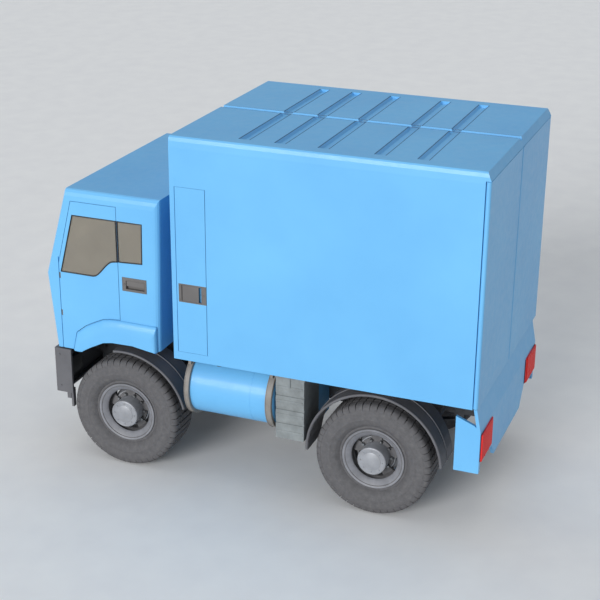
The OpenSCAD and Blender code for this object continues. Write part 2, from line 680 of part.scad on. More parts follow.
module locker_door() color(body_blue) difference() {
    union() {
        block([box_x - wall_t, box_x], [locker_axis[1], box_y0 + locker_y + locker_w - seam / 2],
              locker_zs);
        rod_z(locker_nose, locker_axis[0], locker_axis[1], locker_zs);
    }
    block([box_x - 30, box_x + 1], lk_paddle_y + [-8, 8], lk_paddle_z + [-8, 8]);
    block([box_x - plate_d, box_x + 1], plate_y, plate_z);
    for (z = [[locker_zs[0] - 1, locker_zs[0] + pin_l], [locker_zs[1] - pin_l, locker_zs[1] + 1]])
        rod_z(locker_pin + fit, locker_axis[0], locker_axis[1], z);
}

// Grey surround let into the locker door, with the paddle's pin
module locker_plate() color(grey_plastic) {
    difference() {
        block([box_x - plate_d, box_x], plate_y, plate_z);
        block([box_x - plate_d - 1, box_x + 1], lk_paddle_y, lk_paddle_z);
    }
    rod_z(lk_pin, lk_axis[0], lk_axis[1], [lk_paddle_z[0] - 1, lk_paddle_z[1] + 1]);
}

module locker_paddle() color("#74747A") difference() {
    union() {
        block([box_x - 8, box_x], [lk_axis[1], lk_paddle_y[1] - 26],
              [lk_paddle_z[0] + 1, lk_paddle_z[1] - 1]);
        rod_z(7, lk_axis[0], lk_axis[1], [lk_paddle_z[0] + 1, lk_paddle_z[1] - 1]);
    }
    rod_z(lk_pin + fit, lk_axis[0], lk_axis[1], [lk_paddle_z[0] - 1, lk_paddle_z[1] + 1]);
}

// Panel whose outer edge is a round nose about the hinge line; pins ride in the nose's two ends
module rear_door() difference() {
    union() {
        block([seam / 2 + 4, door_axis[0]], [box_y1 - rear_door_t, box_y1],
              [box_z + 10, header_z - seam / 2]);
        rod_z(door_nose, door_axis[0], door_axis[1], [box_z + 10, header_z - seam / 2]);
    }
    for (z = [[box_z + 9, box_z + 60], [header_z - 60, header_z]])
        rod_z(rear_pin + fit, door_axis[0], door_axis[1], z);
    block([seam / 2 + 3, seam / 2 + 16], [box_y1 - 8, box_y1 + 1], [box_z, header_z]);
}
module rear_door_left() color(body_blue) rear_door();
module rear_door_right() color(body_blue) mirror([1, 0, 0]) rear_door();

// ---------- cab ----------

cab_z0 = 1146;
cab_rear = box_y0 - cab_gap;
cab_low_y = front_y + 72;
screen_y = front_y + 242;
cab_side = [[cab_low_y, cab_z0], [front_y, ridge_z], [screen_y, cab_top], [cab_rear, cab_top],
    [cab_rear - 40, cab_z0]];
edge_round = [24, 24, 100, 60, 0];      // how far each edge falls back at the cab's sides
edge_in = 46;
rake = atan((screen_y - front_y) / (cab_top - ridge_z));

// The closed form of the cab, o inside its outer surface
module cab_form(o, floor_drop = 0) hull() for (k = [0:4])
    let (a = 22.5 * k, half = cab_x - o - edge_in * (1 - cos(a)),
         inset = [for (e = edge_round) e * (1 - sin(a)) + (e == 0 ? -floor_drop : o)])
    side_plate(moved_in(cab_side, inset), [-half, half]);

door_axis_y = fa - 631;
door_r = 8;
door_axis_x = cab_x - door_r;
door_rear = fa - 8;
door_top = 2640;
screen_edge = function (z, back) front_y + 25 + (z - ridge_z) * tan(rake) + back;
ledge = [[-527, cab_z0], [-483, 1331], [-377, 1415], [-273, 1469], [-190, 1508], [-107, 1524], [-8, 1530]];
nose_top = 2031;
door_outline = concat([[door_axis_y, cab_z0]], [for (p = ledge) [fa + p[0], p[1]]],
    [[door_rear, door_top], [screen_edge(door_top, 66), door_top], [door_axis_y, nose_top]]);

// Lower edge of the side glass: low in front, stepping up in an S before the door's rear edge
sill_line = [for (i = [0:8]) let (t = i / 8) [fa - 272 + 222 * t, 1925 + 173 * smooth(t)]];
glass_top = 2511;
door_glass_outline = concat([[fa - 623, 1926]], sill_line,
    [[door_rear, 2104], [door_rear, glass_top], [fa - 471, glass_top]]);
quarter_outline = [[door_rear + seam, 2105], [fa + 250, 2117], [fa + 259, glass_top],
    [door_rear + seam, glass_top]];
glass_x = [cab_x - 10, cab_x - 4];
post = 22;                              // slim pillars behind the glass at the door seam

function tucked(p, lo, hi) = [for (q = p) [max(lo, min(hi, q[0])), q[1]]];

arch = [[-428, cab_z0], [-326, 1206], [-182, 1279], [-85, 1296], [128, 1299], [316, 1269], [378, 1262]];
flare_rear_y = 378;
ledge_in = [[-372, 1407], [-270, 1461], [-188, 1500], [-106, 1516], [-8, 1522], [190, 1520]];

// Outline of the wheel flare, its top edge lowered by drop and its lower edge raised by lift
function flare_ring(drop, lift, back) = [for (q = concat(
    [[-427 + back * 0.3, cab_z0], [-520 + back, cab_z0], [-476 + back, 1324 - drop]],
    [for (q = ledge_in) [q[0] + back * 0.4, q[1] - drop]],
    [[flare_rear_y - back * 0.5, 1518 - drop], [flare_rear_y - back * 0.5, 1262 + lift]],
    [for (i = [len(arch) - 2:-1:1]) [arch[i][0], arch[i][1] + lift]])) [fa + q[0], q[1]]];

// An anticlockwise outline grown by e all round
function grown(p, e) = moved_in(p, [for (q = p) e]);
flare_steps = 4;
flare_fall = [76, 8, 30];               // its outermost layer: top down, lip up, front back

cup_y = [fa + 33, fa + 285];
cup_z = [1834, 1970];
cup_in_y = [fa + 73, fa + 263];
cup_in_z = [1856, 1938];
cup_d = 34;
lug_z = [[1480, 1540], [1860, 1920]];
hinge_r = 4;

module cab_shell() color(body_blue) difference() {
    union() {
        difference() {
            cab_form(0);
            cab_form(skin, 60);
            // Wheel arches
            side_plate(concat([for (p = arch) [fa + p[0], p[1]]],
                [[cab_rear + 60, 1262], [cab_rear + 60, cab_z0 - 60], [fa + arch[0][0], cab_z0 - 60]]),
                [-cab_x - 1, cab_x + 1]);
        }
        // Wheel flares, each layer a little lower than the one inside it
        both_sides() for (k = [1:flare_steps]) let (t = k / flare_steps)
            side_plate(flare_ring(flare_fall[0] * t * t, flare_fall[1] * t * t, flare_fall[2] * t * t),
                       [cab_x - skin + 1, cab_x + flare * t]);
    }
    both_sides() {
        side_plate(grown(door_outline, seam), [cab_x - skin - 40, cab_x + 60]);
        edge_hollow([door_axis_x, door_axis_y], cab_x, door_r + clear, [cab_z0 - 1, nose_top + 45]);
        side_plate(tucked(quarter_outline, door_rear + seam + post, 9999), [cab_x - skin - 1, cab_x + 1]);
        side_plate(quarter_outline, [glass_x[0], cab_x + 1]);
        block([cab_x - cup_d, cab_x + 1], cup_y, cup_z);
        block([hinge_ear[0] - 30, hinge_ear[1] + 30], [front_y - 1, hinge_y + 80],
              [cab_z0 - 1, hinge_z + 34]);
    }
    // Windscreen opening
    block([-cab_x + 110, cab_x - 110], [front_y - 1, front_y + 330], [2052, 2625]);
    // Grille slots
    for (z = [1330:70:1680]) block([-620, 620], [front_y - 1, front_y + 140], [z, z + 34]);
}

// Door with its window, round hinge edge and the slots that the hinge lugs reach into
module door() difference() {
    union() {
        intersection() {
            difference() { cab_form(0); cab_form(skin, 60); }
            side_plate(door_outline, [cab_x - skin - 20, cab_x + 20]);
        }
        rod_z(door_r, door_axis_x, door_axis_y, [cab_z0 + 6, nose_top - 6]);
    }
    side_plate(tucked(door_glass_outline, -9999, door_rear - post), [cab_x - skin - 1, cab_x + 1]);
    side_plate(door_glass_outline, [glass_x[0], cab_x + 1]);
    for (z = lug_z) {
        rod_z(door_r + clear, door_axis_x, door_axis_y, z);
        rod_z(hinge_r + fit, door_axis_x, door_axis_y, [z[0] - 32, z[1] + 32]);
    }
}

module door_glass() side_plate(pane_outline(door_glass_outline), [glass_x[0] + 0.5, glass_x[1]]);
// The same outline, 1 mm smaller in height and length
function pane_outline(p) = let (y0 = min([for (q = p) q[0]]), y1 = max([for (q = p) q[0]]),
    z0 = min([for (q = p) q[1]]), z1 = max([for (q = p) q[1]]))
    [for (q = p) [q[0] + 1 - 2 * (q[0] - y0) / (y1 - y0), q[1] + 1 - 2 * (q[1] - z0) / (z1 - z0)]];

module door_left() color(body_blue) door();
module door_right() color(body_blue) mirror([1, 0, 0]) door();
module door_glass_left() color(tint) door_glass();
module door_glass_right() color(tint) mirror([1, 0, 0]) door_glass();

cab_floor_z = 1300;
cab_floor_t = 26;
inner_x = cab_x - skin;
hump = [300, 1470];
cushion_x = [330, 850];
cushion_y = [fa - 210, fa + 200];
seat_z = 1640;

// Floor pan with the hump over the engine, the front sill with the tilt tubes, and seat boxes
module cab_floor() color("#4B4E52") difference() {
    union() {
        intersection() {
            cab_form(skin + 1, 60);
            union() {
                block([-inner_x, inner_x], [front_y, cab_rear], [cab_floor_z, cab_floor_z + cab_floor_t]);
                block([-hump[0], hump[0]], [fa - 470, cab_rear], [cab_floor_z, hump[1]]);
            }
        }
        block([-hinge_ear[1] - 60, hinge_ear[1] + 60], [hinge_y + 26, hinge_y + 66],
              [hinge_z - 6, cab_floor_z + 1]);
        both_sides() {
            rod_x(17, [hinge_ear[0] + 2, hinge_ear[1] - 2], hinge_y, hinge_z);
            block([hinge_ear[0] + 2, hinge_ear[1] - 2], [hinge_y, hinge_y + 30],
                  [hinge_z - 6, hinge_z + 17]);
            block(cushion_x + [60, -60], cushion_y + [70, 80], [cab_floor_z + cab_floor_t - 1, seat_z]);
        }
    }
    block([-hump[0] + 20, hump[0] - 20], [fa - 450, cab_rear - skin - 70], [cab_floor_z - 1, hump[1] - 20]);
    both_sides() rod_x(hinge_pin + fit, [hinge_ear[0], hinge_ear[1]], hinge_y, hinge_z);
}

// Windscreen, and a fixed pane behind each door
module fixed_glass() color(tint) {
    intersection() {
        difference() { cab_form(2); cab_form(9); }
        block([-cab_x + 111, cab_x - 111], [front_y - 1, front_y + 330], [2053, 2624]);
    }
    both_sides() side_plate(pane_outline(quarter_outline), [glass_x[0] + 0.5, glass_x[1]]);
}

pd_y = [cup_in_y[0] + 3, cup_in_y[1] - 3];
pd_z = [cup_in_z[0] + 30, cup_in_z[1] - 2];
pd_pin = 4;
pd_axis = [cab_x - 10, pd_z[1] - 8];

// Hinge lugs with the pins that the doors turn on, the wipers' spindles, and the grey handle
// cups behind the doors, each with the pin that its paddle turns on
module cab_fittings() color(grey_plastic) {
    both_sides() {
        for (z = lug_z) {
            rod_z(door_r - 1, door_axis_x, door_axis_y, z + [1, -1]);
            intersection() {
                block([door_axis_x - 5, door_axis_x], [door_axis_y - door_r - clear, door_axis_y],
                      z + [1, -1]);
                rod_z(door_r + clear, door_axis_x, door_axis_y, z);
            }
            rod_z(hinge_r, door_axis_x, door_axis_y, z + [-28, 28]);
        }
        difference() {
            block([cab_x - cup_d, cab_x + 2], cup_y, cup_z);
            block([cab_x - cup_d + 6, cab_x + 3], cup_in_y, cup_in_z);
        }
        rod_y(pd_pin, pd_axis[0], cup_in_y + [-1, 1], pd_axis[1]);
    }
    for (x = wiper_x) on_screen() translate([x, wiper_at, 0.5]) cylinder(r = wiper_pin, h = 15);
}

module paddle() difference() {
    union() {
        block([cab_x - 9, cab_x - 3], pd_y, [pd_z[0], pd_axis[1]]);
        rod_y(7, pd_axis[0], pd_y, pd_axis[1]);
    }
    rod_y(pd_pin + fit, pd_axis[0], [pd_y[0] - 1, pd_y[1] + 1], pd_axis[1]);
}
module paddle_left() color("#74747A") paddle();
module paddle_right() color("#74747A") mirror([1, 0, 0]) paddle();

seat_x = (cushion_x[0] + cushion_x[1]) / 2;
column_tilt = 30;                       // steering column, away from upright
column_top = [seat_x, fa - 427, 1965];
column_l = 420;
column_pin = 12;

module on_column() translate(column_top) rotate([-column_tilt, 0, 0]) children();

module dashboard() color("#3B3D40") {
    difference() {
        side_plate([[fa - 690, 1640], [fa - 500, 1640], [fa - 455, 1700], [fa - 470, 1850],
            [fa - 560, 1890], [fa - 700, 1890]], [-inner_x + 20, inner_x - 20]);
        block([-hump[0], hump[0]], [fa - 600, fa - 440], [1690, 1840]);
    }
    on_column() {
        translate([0, 0, -column_l]) cylinder(r = 32, h = column_l - 40);
        translate([0, 0, -41]) cylinder(r = column_pin, h = 60);
    }
}

wheel_rim_r = 215;
module steering_wheel() color("#2B2C2E") on_column() {
    rotate_extrude() translate([wheel_rim_r, 0]) circle(r = 15, $fn = 32);
    difference() {
        translate([0, 0, -34]) cylinder(r = 46, h = 60);
        translate([0, 0, -35]) cylinder(r = column_pin + fit, h = 56);
    }
    for (a = [90, 210, 330]) rotate([0, 0, a]) translate([40, -16, -8]) cube([wheel_rim_r - 46, 32, 14]);
}

cushion_t = 120;
back_top = 2390;
// Cushion and backrest of the two seats
module seats() color("#55524C") both_sides() {
    block(cushion_x, cushion_y, [seat_z, seat_z + cushion_t]);
    side_plate([[cushion_y[1] + 4, seat_z + 60], [cushion_y[1] + 94, seat_z + 60],
        [cushion_y[1] + 130, back_top], [cushion_y[1] + 50, back_top]], cushion_x + [10, -10]);
}

wiper_at = 125;                         // up the screen from the ridge
wiper_x = [-160, 720];
wiper_l = 560;
wiper_pin = 9;
// Frame lying on the windscreen: X across, Y up the glass, Z out of it
module on_screen() translate([0, front_y, ridge_z]) rotate([90 - rake, 0, 0]) children();
module wiper(x) on_screen() translate([x, wiper_at, 0]) {
    difference() {
        translate([0, 0, 3]) cylinder(r = 20, h = 22);
        translate([0, 0, 2]) cylinder(r = wiper_pin + fit, h = 17);
    }
    rotate([0, 0, 176]) {
        translate([15, -9, 12]) cube([wiper_l - 200, 18, 10]);
        translate([wiper_l - 380, -5, 2]) cube([430, 10, 11]);
    }
}
module wiper_left() color("#242527") wiper(wiper_x[1]);
module wiper_right() color("#242527") wiper(wiper_x[0]);

frame_rails();
crossmembers();
front_bumper();
headlamps();
rear_valance();
tail_lamps();
fuel_tank();
tank_bands();
battery_box();
tool_box();
air_tanks();
silencer();
mudguards();
powertrain();
leaf_springs();
front_axle();
rear_axle();
prop_shaft();
knuckle_left();
knuckle_right();
tie_rod();
tyre_front_left();
tyre_front_right();
tyre_rear_left();
tyre_rear_right();
rim_front_left();
rim_front_right();
rim_rear_left();
rim_rear_right();
hub_front_left();
hub_front_right();
hub_rear_left();
hub_rear_right();
box_floor();
box_front_wall();
box_side_left();
box_side_right();
box_roof();
box_rear_frame();
locker_liner();
locker_door();
locker_plate();
locker_paddle();
rear_door_left();
rear_door_right();
cab_shell();
cab_floor();
fixed_glass();
cab_fittings();
dashboard();
steering_wheel();
seats();
door_left();
door_right();
door_glass_left();
door_glass_right();
paddle_left();
paddle_right();
wiper_left();
wiper_right();
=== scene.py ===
# %% [markdown]
# # A cab-over mail delivery truck
# The frame comes from the imported model: every body, node and joint of the truck is already in
# place and in metres. This file only adds looks: finishes for the model's own nodes, and the
# detail pieces that a functional model leaves out. We begin by loading the frame, with a helper
# that reads each node's box.

# %% Load the frame
import math

import bmesh
import bpy
from mathutils import Matrix, Vector


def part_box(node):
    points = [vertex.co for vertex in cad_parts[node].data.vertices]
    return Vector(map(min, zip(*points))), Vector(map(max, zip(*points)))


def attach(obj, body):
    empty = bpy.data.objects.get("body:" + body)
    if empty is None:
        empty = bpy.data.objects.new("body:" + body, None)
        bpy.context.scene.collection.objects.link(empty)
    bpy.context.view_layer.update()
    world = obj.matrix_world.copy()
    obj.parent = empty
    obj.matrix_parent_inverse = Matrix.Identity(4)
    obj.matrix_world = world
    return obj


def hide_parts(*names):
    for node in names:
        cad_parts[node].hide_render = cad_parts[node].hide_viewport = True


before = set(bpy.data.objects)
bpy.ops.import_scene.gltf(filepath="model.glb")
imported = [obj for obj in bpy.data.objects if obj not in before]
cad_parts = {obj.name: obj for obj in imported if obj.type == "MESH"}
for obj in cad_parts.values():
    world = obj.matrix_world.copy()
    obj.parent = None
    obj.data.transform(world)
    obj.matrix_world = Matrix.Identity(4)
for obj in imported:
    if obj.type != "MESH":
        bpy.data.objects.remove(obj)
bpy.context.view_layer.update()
MM = 0.001
SIDES = (("left", 1), ("right", -1))

# %% [markdown]
# ## Driving places
# Nothing large is placed by eye. The side of the cab, the roof, the axles and the doors are read
# from the nodes' boxes, and later pieces are worked out from these few names.

# %% Places read from the frame
cab_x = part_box("door_left")[1].x
flare_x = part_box("cab_shell")[1].x
front_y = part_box("cab_shell")[0].y
box_front_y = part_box("box_side_left")[0].y
roof_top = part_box("box_roof")[1].z
door_rear_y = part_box("rear_door_left")[1].y
valance_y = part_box("rear_valance")[1].y
WHEELS = {}
for end in ("front", "rear"):
    for side, sign in SIDES:
        low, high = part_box(f"tyre_{end}_{side}")
        WHEELS[f"{end}_{side}"] = ((low + high) / 2, sign)
low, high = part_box("tyre_front_left")
tyre_r, tyre_half = high.z / 2, (high.x - low.x) / 2
axle_y = WHEELS["front_left"][0].y
rear_axle_y = WHEELS["rear_left"][0].y
print("tyre radius", round(tyre_r, 3), "axles at", round(axle_y, 3), round(rear_axle_y, 3))

# %% [markdown]
# ## Helpers for materials
# One function turns an sRGB hex value into linear light, and one adds a shader node. The other
# four name the steps that most finishes share: a noise of a real size, a colour ramp, a stretched
# value and a bump. With them, every finish below can be read as a recipe.

# %% Colour and node helpers
def linear(hex_value):
    """An sRGB hex value as linear light."""
    parts = [int(hex_value[i:i + 2], 16) / 255 for i in (1, 3, 5)]
    return [p / 12.92 if p <= 0.04045 else ((p + 0.055) / 1.055) ** 2.4 for p in parts] + [1.0]


def set_inputs(tree, node, inputs):
    """Links an input where another node's output is given, and sets its value otherwise."""
    for key, value in inputs.items():
        if isinstance(value, bpy.types.NodeSocket):
            tree.links.new(value, node.inputs[key])
        else:
            node.inputs[key].default_value = value


def add(tree, kind, inputs=None, **settings):
    """One node, with its settings and its inputs."""
    node = tree.nodes.new(kind)
    for key, value in settings.items():
        setattr(node, key, value)
    set_inputs(tree, node, inputs or {})
    return node


def noise(tree, place, size_mm, detail, **more):
    """Noise whose features are about that many millimetres across."""
    inputs = {"Vector": place, "Scale": 1000 / size_mm, "Detail": detail, **more}
    return add(tree, "ShaderNodeTexNoise", inputs).outputs["Fac"]


def colours(tree, value, *stops):
    """Colours along a value. A stop is a place and an sRGB hex value."""
    node = add(tree, "ShaderNodeValToRGB", {"Fac": value})
    elements = node.color_ramp.elements
    while len(elements) < len(stops):
        elements.new(0.5)
    for element, (place, colour) in zip(elements, stops):
        element.position = place
        element.color = linear(colour)
    return node.outputs["Color"]


def stretched(tree, value, low, high, span=(0.0, 1.0)):
    """A value whose span is stretched to run from low to high."""
    inputs = {"Value": value, "From Min": span[0], "From Max": span[1],
              "To Min": low, "To Max": high}
    return add(tree, "ShaderNodeMapRange", inputs).outputs["Result"]


def relief(tree, height, strength, depth):
    """A bumped normal from a height, with the depth in metres."""
    inputs = {"Height": height, "Strength": strength, "Distance": depth}
    return add(tree, "ShaderNodeBump", inputs).outputs["Normal"]


def new_material(name):
    material = bpy.data.materials.new(name)
    material.use_nodes = True
    tree = material.node_tree
    tree.nodes.clear()
    shader = add(tree, "ShaderNodeBsdfPrincipled")
    add(tree, "ShaderNodeOutputMaterial", {"Surface": shader.outputs["BSDF"]})
    place = add(tree, "ShaderNodeTexCoord").outputs["Object"]
    return material, tree, shader, place


# %% [markdown]
# ## Body enamel
# The cab, the cargo box, the tank and the rear valance are steel sheet sprayed with a glossy
# two-pack enamel. Up close such paint has orange peel a few millimetres across, and over a whole
# panel it varies slightly where sun and washing have worn it. A clear coat gives the sharp second
# highlight on edges.

# %% Enamel for cab and box
def body_enamel(name, light, deep, roughness):
    material, tree, shader, place = new_material(name)
    worn = noise(tree, place, 900, 5.0)
    # Road film that settles in fine specks makes the gloss uneven
    film = noise(tree, place, 70, 6.0)
    # Orange peel, about 5 mm across
    peel = noise(tree, place, 5, 1.0)
    set_inputs(tree, shader, {
        "Base Color": colours(tree, worn, (0.3, deep), (0.7, light)),
        "Roughness": stretched(tree, film, roughness, roughness + 0.14, (0.3, 0.75)),
        "Normal": relief(tree, peel, 0.05, 0.5 * MM),
        "Coat Weight": 0.15, "Coat Roughness": 0.12, "Specular IOR Level": 0.35})
    return material


cab_enamel = body_enamel("two_pack_enamel_sky_blue", "#70BBEC", "#68B2E6", 0.36)
# The sealer's darker blue is painted shade along the edges of the roof channels.
sealer_painted_shade = body_enamel("seam_sealer_darkened_as_groove_shade", "#3F6F96", "#36648A", 0.5)
frame_enamel = body_enamel("two_pack_enamel_door_frame", "#5F9CC6", "#5691BB", 0.42)
print("enamels", cab_enamel.name, sealer_painted_shade.name, frame_enamel.name)

# %% [markdown]
# ## Chassis paint, castings and plain steels
# Rails, springs and axles are brushed with a satin chassis paint that traps dust in its texture.
# Engine and gearbox castings keep the grain of the sand mould under their paint. The exhaust is
# heat-dulled sheet, the tank straps are painted taupe. Steel rims are dipped in grey enamel and
# the hub caps sprayed a lighter silver grey. One recipe serves all of them, with the grain's size
# and depth, the gloss and the metal content as its dials.

# %% Paints over rough steel and castings
def rough_paint(name, light, deep, grain_mm, roughness, depth, metallic=0.0):
    material, tree, shader, place = new_material(name)
    dust = noise(tree, place, 120, 8.0, Roughness=0.65)
    grain = noise(tree, place, grain_mm, 3.0)
    set_inputs(tree, shader, {
        "Base Color": colours(tree, dust, (0.35, deep), (0.72, light)),
        "Roughness": stretched(tree, dust, roughness - 0.08, roughness + 0.1),
        "Normal": relief(tree, grain, depth, grain_mm * MM * 0.3),
        "Metallic": metallic})
    return material


chassis_paint = rough_paint("satin_chassis_paint", "#4A4C50", "#34363A", 2.5, 0.55, 0.25)
casting = rough_paint("painted_sand_casting", "#6E7276", "#505458", 3.0, 0.6, 0.6)
strap_steel = rough_paint("painted_strap_steel_taupe", "#948F89", "#7C7771", 2.0, 0.5, 0.15)
exhaust_steel = rough_paint("heat_dulled_aluminised_steel", "#8A8A88", "#6A6662",
                            4.0, 0.42, 0.2, 0.8)
battery_cover = rough_paint("dusty_battery_cover_grey", "#8E9495", "#757A7B", 6.0, 0.62, 0.4)
bolt_steel = rough_paint("zinc_plated_bolt_steel", "#9A9C9E", "#7E8082", 1.0, 0.38, 0.1, 0.9)
rim_enamel = rough_paint("dipped_wheel_enamel_grey", "#6E6D6F", "#565557", 2.0, 0.48, 0.12)
rim_face_enamel = rough_paint("sprayed_wheel_enamel_light_grey", "#8C8D93", "#76777C",
                              1.5, 0.42, 0.08)
hub_enamel = rough_paint("silver_grey_hub_enamel", "#A3A5AA", "#8C8E93", 1.5, 0.4, 0.08, 0.15)
white_plate = rough_paint("embossed_aluminium_plate_white", "#D9DAD6", "#CBCCC7", 3.0, 0.4, 0.05)
print("paints", len(bpy.data.materials))

# %% [markdown]
# ## Moulded plastics and seals
# The bumper, mudguards and handle surrounds are mass-coloured polypropylene with a fine leather
# grain from the mould, which shows as a soft, broad highlight. Voronoi cells give that grain its
# small rounded islands. Seals are extruded EPDM: darker and smoother. Cab trim is the same
# plastic in charcoal.

# %% Grained plastic, trim and seals
def grained_plastic(name, light, deep, grain_mm, roughness):
    material, tree, shader, place = new_material(name)
    cells = add(tree, "ShaderNodeTexVoronoi", {"Vector": place, "Scale": 1000 / grain_mm},
                feature="DISTANCE_TO_EDGE").outputs["Distance"]
    chalk = noise(tree, place, 260, 6.0)
    set_inputs(tree, shader, {
        "Base Color": colours(tree, chalk, (0.35, deep), (0.7, light)),
        "Normal": relief(tree, cells, 0.35, 0.4 * MM),
        "Roughness": roughness})
    return material


grey_plastic = grained_plastic("grained_polypropylene_grey", "#67676B", "#5A5A5E", 3.0, 0.58)
handle_plastic = grained_plastic("handle_moulding_grey", "#6E6B69", "#625F5E", 1.5, 0.5)
trim_plastic = grained_plastic("cab_trim_charcoal", "#45474A", "#3A3C3F", 2.5, 0.6)
seal_rubber = grained_plastic("extruded_epdm_seal", "#2E2F32", "#26272A", 1.2, 0.5)
wiper_black = grained_plastic("matt_black_powder_coat", "#2A2B2D", "#222325", 1.0, 0.55)
print("plastics made")

# %% [markdown]
# ## Tyre rubber
# A delivery truck's tyres are never black for long: carbon-black rubber chalks to a mid grey and
# holds pale dust in its pores. Three close greys over a 45 mm noise give the dust, and a much
# finer noise gives the pores.

# %% Tyre rubber
def tyre_compound():
    material, tree, shader, place = new_material("weathered_tyre_rubber")
    dust = noise(tree, place, 45, 9.0, Roughness=0.7)
    pores = noise(tree, place, 2.5, 4.0)
    greys = ((0.32, "#535254"), (0.55, "#5E5D5F"), (0.75, "#6A6968"))
    set_inputs(tree, shader, {
        "Base Color": colours(tree, dust, *greys),
        "Normal": relief(tree, pores, 0.5, 0.8 * MM),
        "Roughness": 0.82})
    return material


tyre_rubber = tyre_compound()
print("tyre rubber", tyre_rubber.name)

# %% [markdown]
# ## Glass, lenses and reflectors
# The cab glass is bronze-tinted toughened glass behind a layer of road dust, so it reads as a
# warm olive brown with only a hint of the cab's inside. Lamp lenses are cast acrylic: saturated
# red at the rear, clear at the front. The headlamp bowls are plastic with a thin metallised skin,
# which needs only a high metal value and a little haze.

# %% Bronze glass, acrylic and metallised bowls
def dusty_glass(name, film_hex, clear_hex, transmission, roughness):
    material, tree, shader, place = new_material(name)
    film = noise(tree, place, 420, 3.0)
    wave = noise(tree, place, 300, 0.0)
    set_inputs(tree, shader, {
        "Base Color": colours(tree, film, (0.35, clear_hex), (0.7, film_hex)),
        "Normal": relief(tree, wave, 0.04, 2 * MM),
        "Transmission Weight": transmission, "Roughness": roughness, "IOR": 1.5})
    return material


def metallised():
    material, tree, shader, place = new_material("vacuum_metallised_reflector")
    haze = noise(tree, place, 30, 3.0)
    set_inputs(tree, shader, {"Roughness": stretched(tree, haze, 0.08, 0.2),
                              "Base Color": linear("#D8DADC"), "Metallic": 1.0})
    return material


bronze_glass = dusty_glass("bronze_tinted_toughened_glass", "#C2BBAD", "#B8B1A3", 0.62, 0.05)
lamp_red = dusty_glass("cast_acrylic_red", "#F2221A", "#E41B14", 0.0, 0.4)
lamp_clear = dusty_glass("cast_acrylic_clear", "#E4E8EA", "#D4D9DC", 0.75, 0.1)
chrome = metallised()
print("glass and lenses made")

# %% [markdown]
# ## Deck metal and seat cloth
# The cargo floor and the locker are mill-finish aluminium, whose rolling lines are noise drawn
# out along the truck. The seats wear a plain-weave cloth: two crossed waves multiplied. Its
# threads are drawn 3 mm wide, coarser than real ones, so that the weave can still be seen.

# %% Aluminium deck and woven cloth
def mill_aluminium():
    material, tree, shader, place = new_material("mill_finish_aluminium")
    drawn_out = add(tree, "ShaderNodeMapping", {"Vector": place, "Scale": (1.0, 0.03, 1.0)})
    lines = noise(tree, drawn_out.outputs["Vector"], 3, 4.0)
    set_inputs(tree, shader, {
        "Base Color": colours(tree, lines, (0.3, "#8E9294"), (0.7, "#A4A8AA")),
        "Roughness": stretched(tree, lines, 0.34, 0.55),
        "Metallic": 0.85})
    return material


def seat_cloth():
    material, tree, shader, place = new_material("plain_weave_seat_cloth")
    thread_scale = 1000 / 3 / 6.28
    warp, weft = (add(tree, "ShaderNodeTexWave", {"Vector": place, "Scale": thread_scale},
                      bands_direction=axis).outputs["Fac"] for axis in "XY")
    weave = add(tree, "ShaderNodeMath", {0: warp, 1: weft}, operation="MULTIPLY").outputs["Value"]
    set_inputs(tree, shader, {
        "Base Color": colours(tree, weave, (0.1, "#3A3936"), (0.9, "#605D57")),
        "Normal": relief(tree, weave, 0.6, 0.8 * MM),
        "Roughness": 0.9, "Sheen Weight": 0.3})
    return material


deck_metal = mill_aluminium()
cloth = seat_cloth()
print("materials", len(bpy.data.materials))

# %% [markdown]
# ## Dressing the model's own nodes
# Most nodes already have the right shape, so they only swap their plain colour for the finish of
# the real surface. The table goes by finish, as a paint shop's list would.

# %% Finishes of the nodes
DRESS = {
    cab_enamel: ["rear_valance", "fuel_tank", "tool_box", "box_front_wall", "box_side_left",
                 "box_side_right", "box_roof", "locker_door", "rear_door_left", "rear_door_right",
                 "cab_shell", "door_left", "door_right"],
    frame_enamel: ["box_rear_frame"],
    chassis_paint: ["frame_rails", "crossmembers", "air_tanks", "leaf_springs", "front_axle",
                    "rear_axle", "knuckle_left", "knuckle_right", "tie_rod", "prop_shaft"],
    casting: ["powertrain"],
    battery_cover: ["battery_box"],
    strap_steel: ["tank_bands"],
    exhaust_steel: ["silencer"],
    grey_plastic: ["front_bumper", "mudguards"],
    handle_plastic: ["locker_plate", "locker_paddle", "cab_fittings", "paddle_left",
                     "paddle_right"],
    trim_plastic: ["cab_floor", "dashboard", "steering_wheel"],
    wiper_black: ["wiper_left", "wiper_right"],
    bronze_glass: ["fixed_glass", "door_glass_left", "door_glass_right"],
    lamp_red: ["tail_lamps"],
    lamp_clear: ["headlamps"],
    deck_metal: ["box_floor", "locker_liner"],
    cloth: ["seats"],
    tyre_rubber: [f"tyre_{w}" for w in WHEELS],
    rim_enamel: [f"rim_{w}" for w in WHEELS],
    hub_enamel: [f"hub_{w}" for w in WHEELS],
}
for finish, names in DRESS.items():
    for name in names:
        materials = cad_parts[name].data.materials
        materials.clear()
        materials.append(finish)
print("nodes dressed", sum(len(names) for names in DRESS.values()))

# %% [markdown]
# ## Helpers for meshes and pieces
# A finished piece is a mesh whose object sits at the origin and rides on a body of the frame.
# Shapes are worked on as BMesh, which is quick to edit, and become mesh data at the end. The
# helpers here carry a shape between those two states and join shapes into a piece.

# %% From shape to piece
def as_mesh(shape, name):
    mesh = bpy.data.meshes.new(name)
    shape.to_mesh(mesh)
    shape.free()
    return mesh


def as_shape(mesh):
    """A shape made from mesh data, which is then dropped."""
    shape = bmesh.new()
    shape.from_mesh(mesh)
    bpy.data.meshes.remove(mesh)
    return shape


def in_scene(name, data):
    obj = bpy.data.objects.new(name, data)
    bpy.context.scene.collection.objects.link(obj)
    return obj


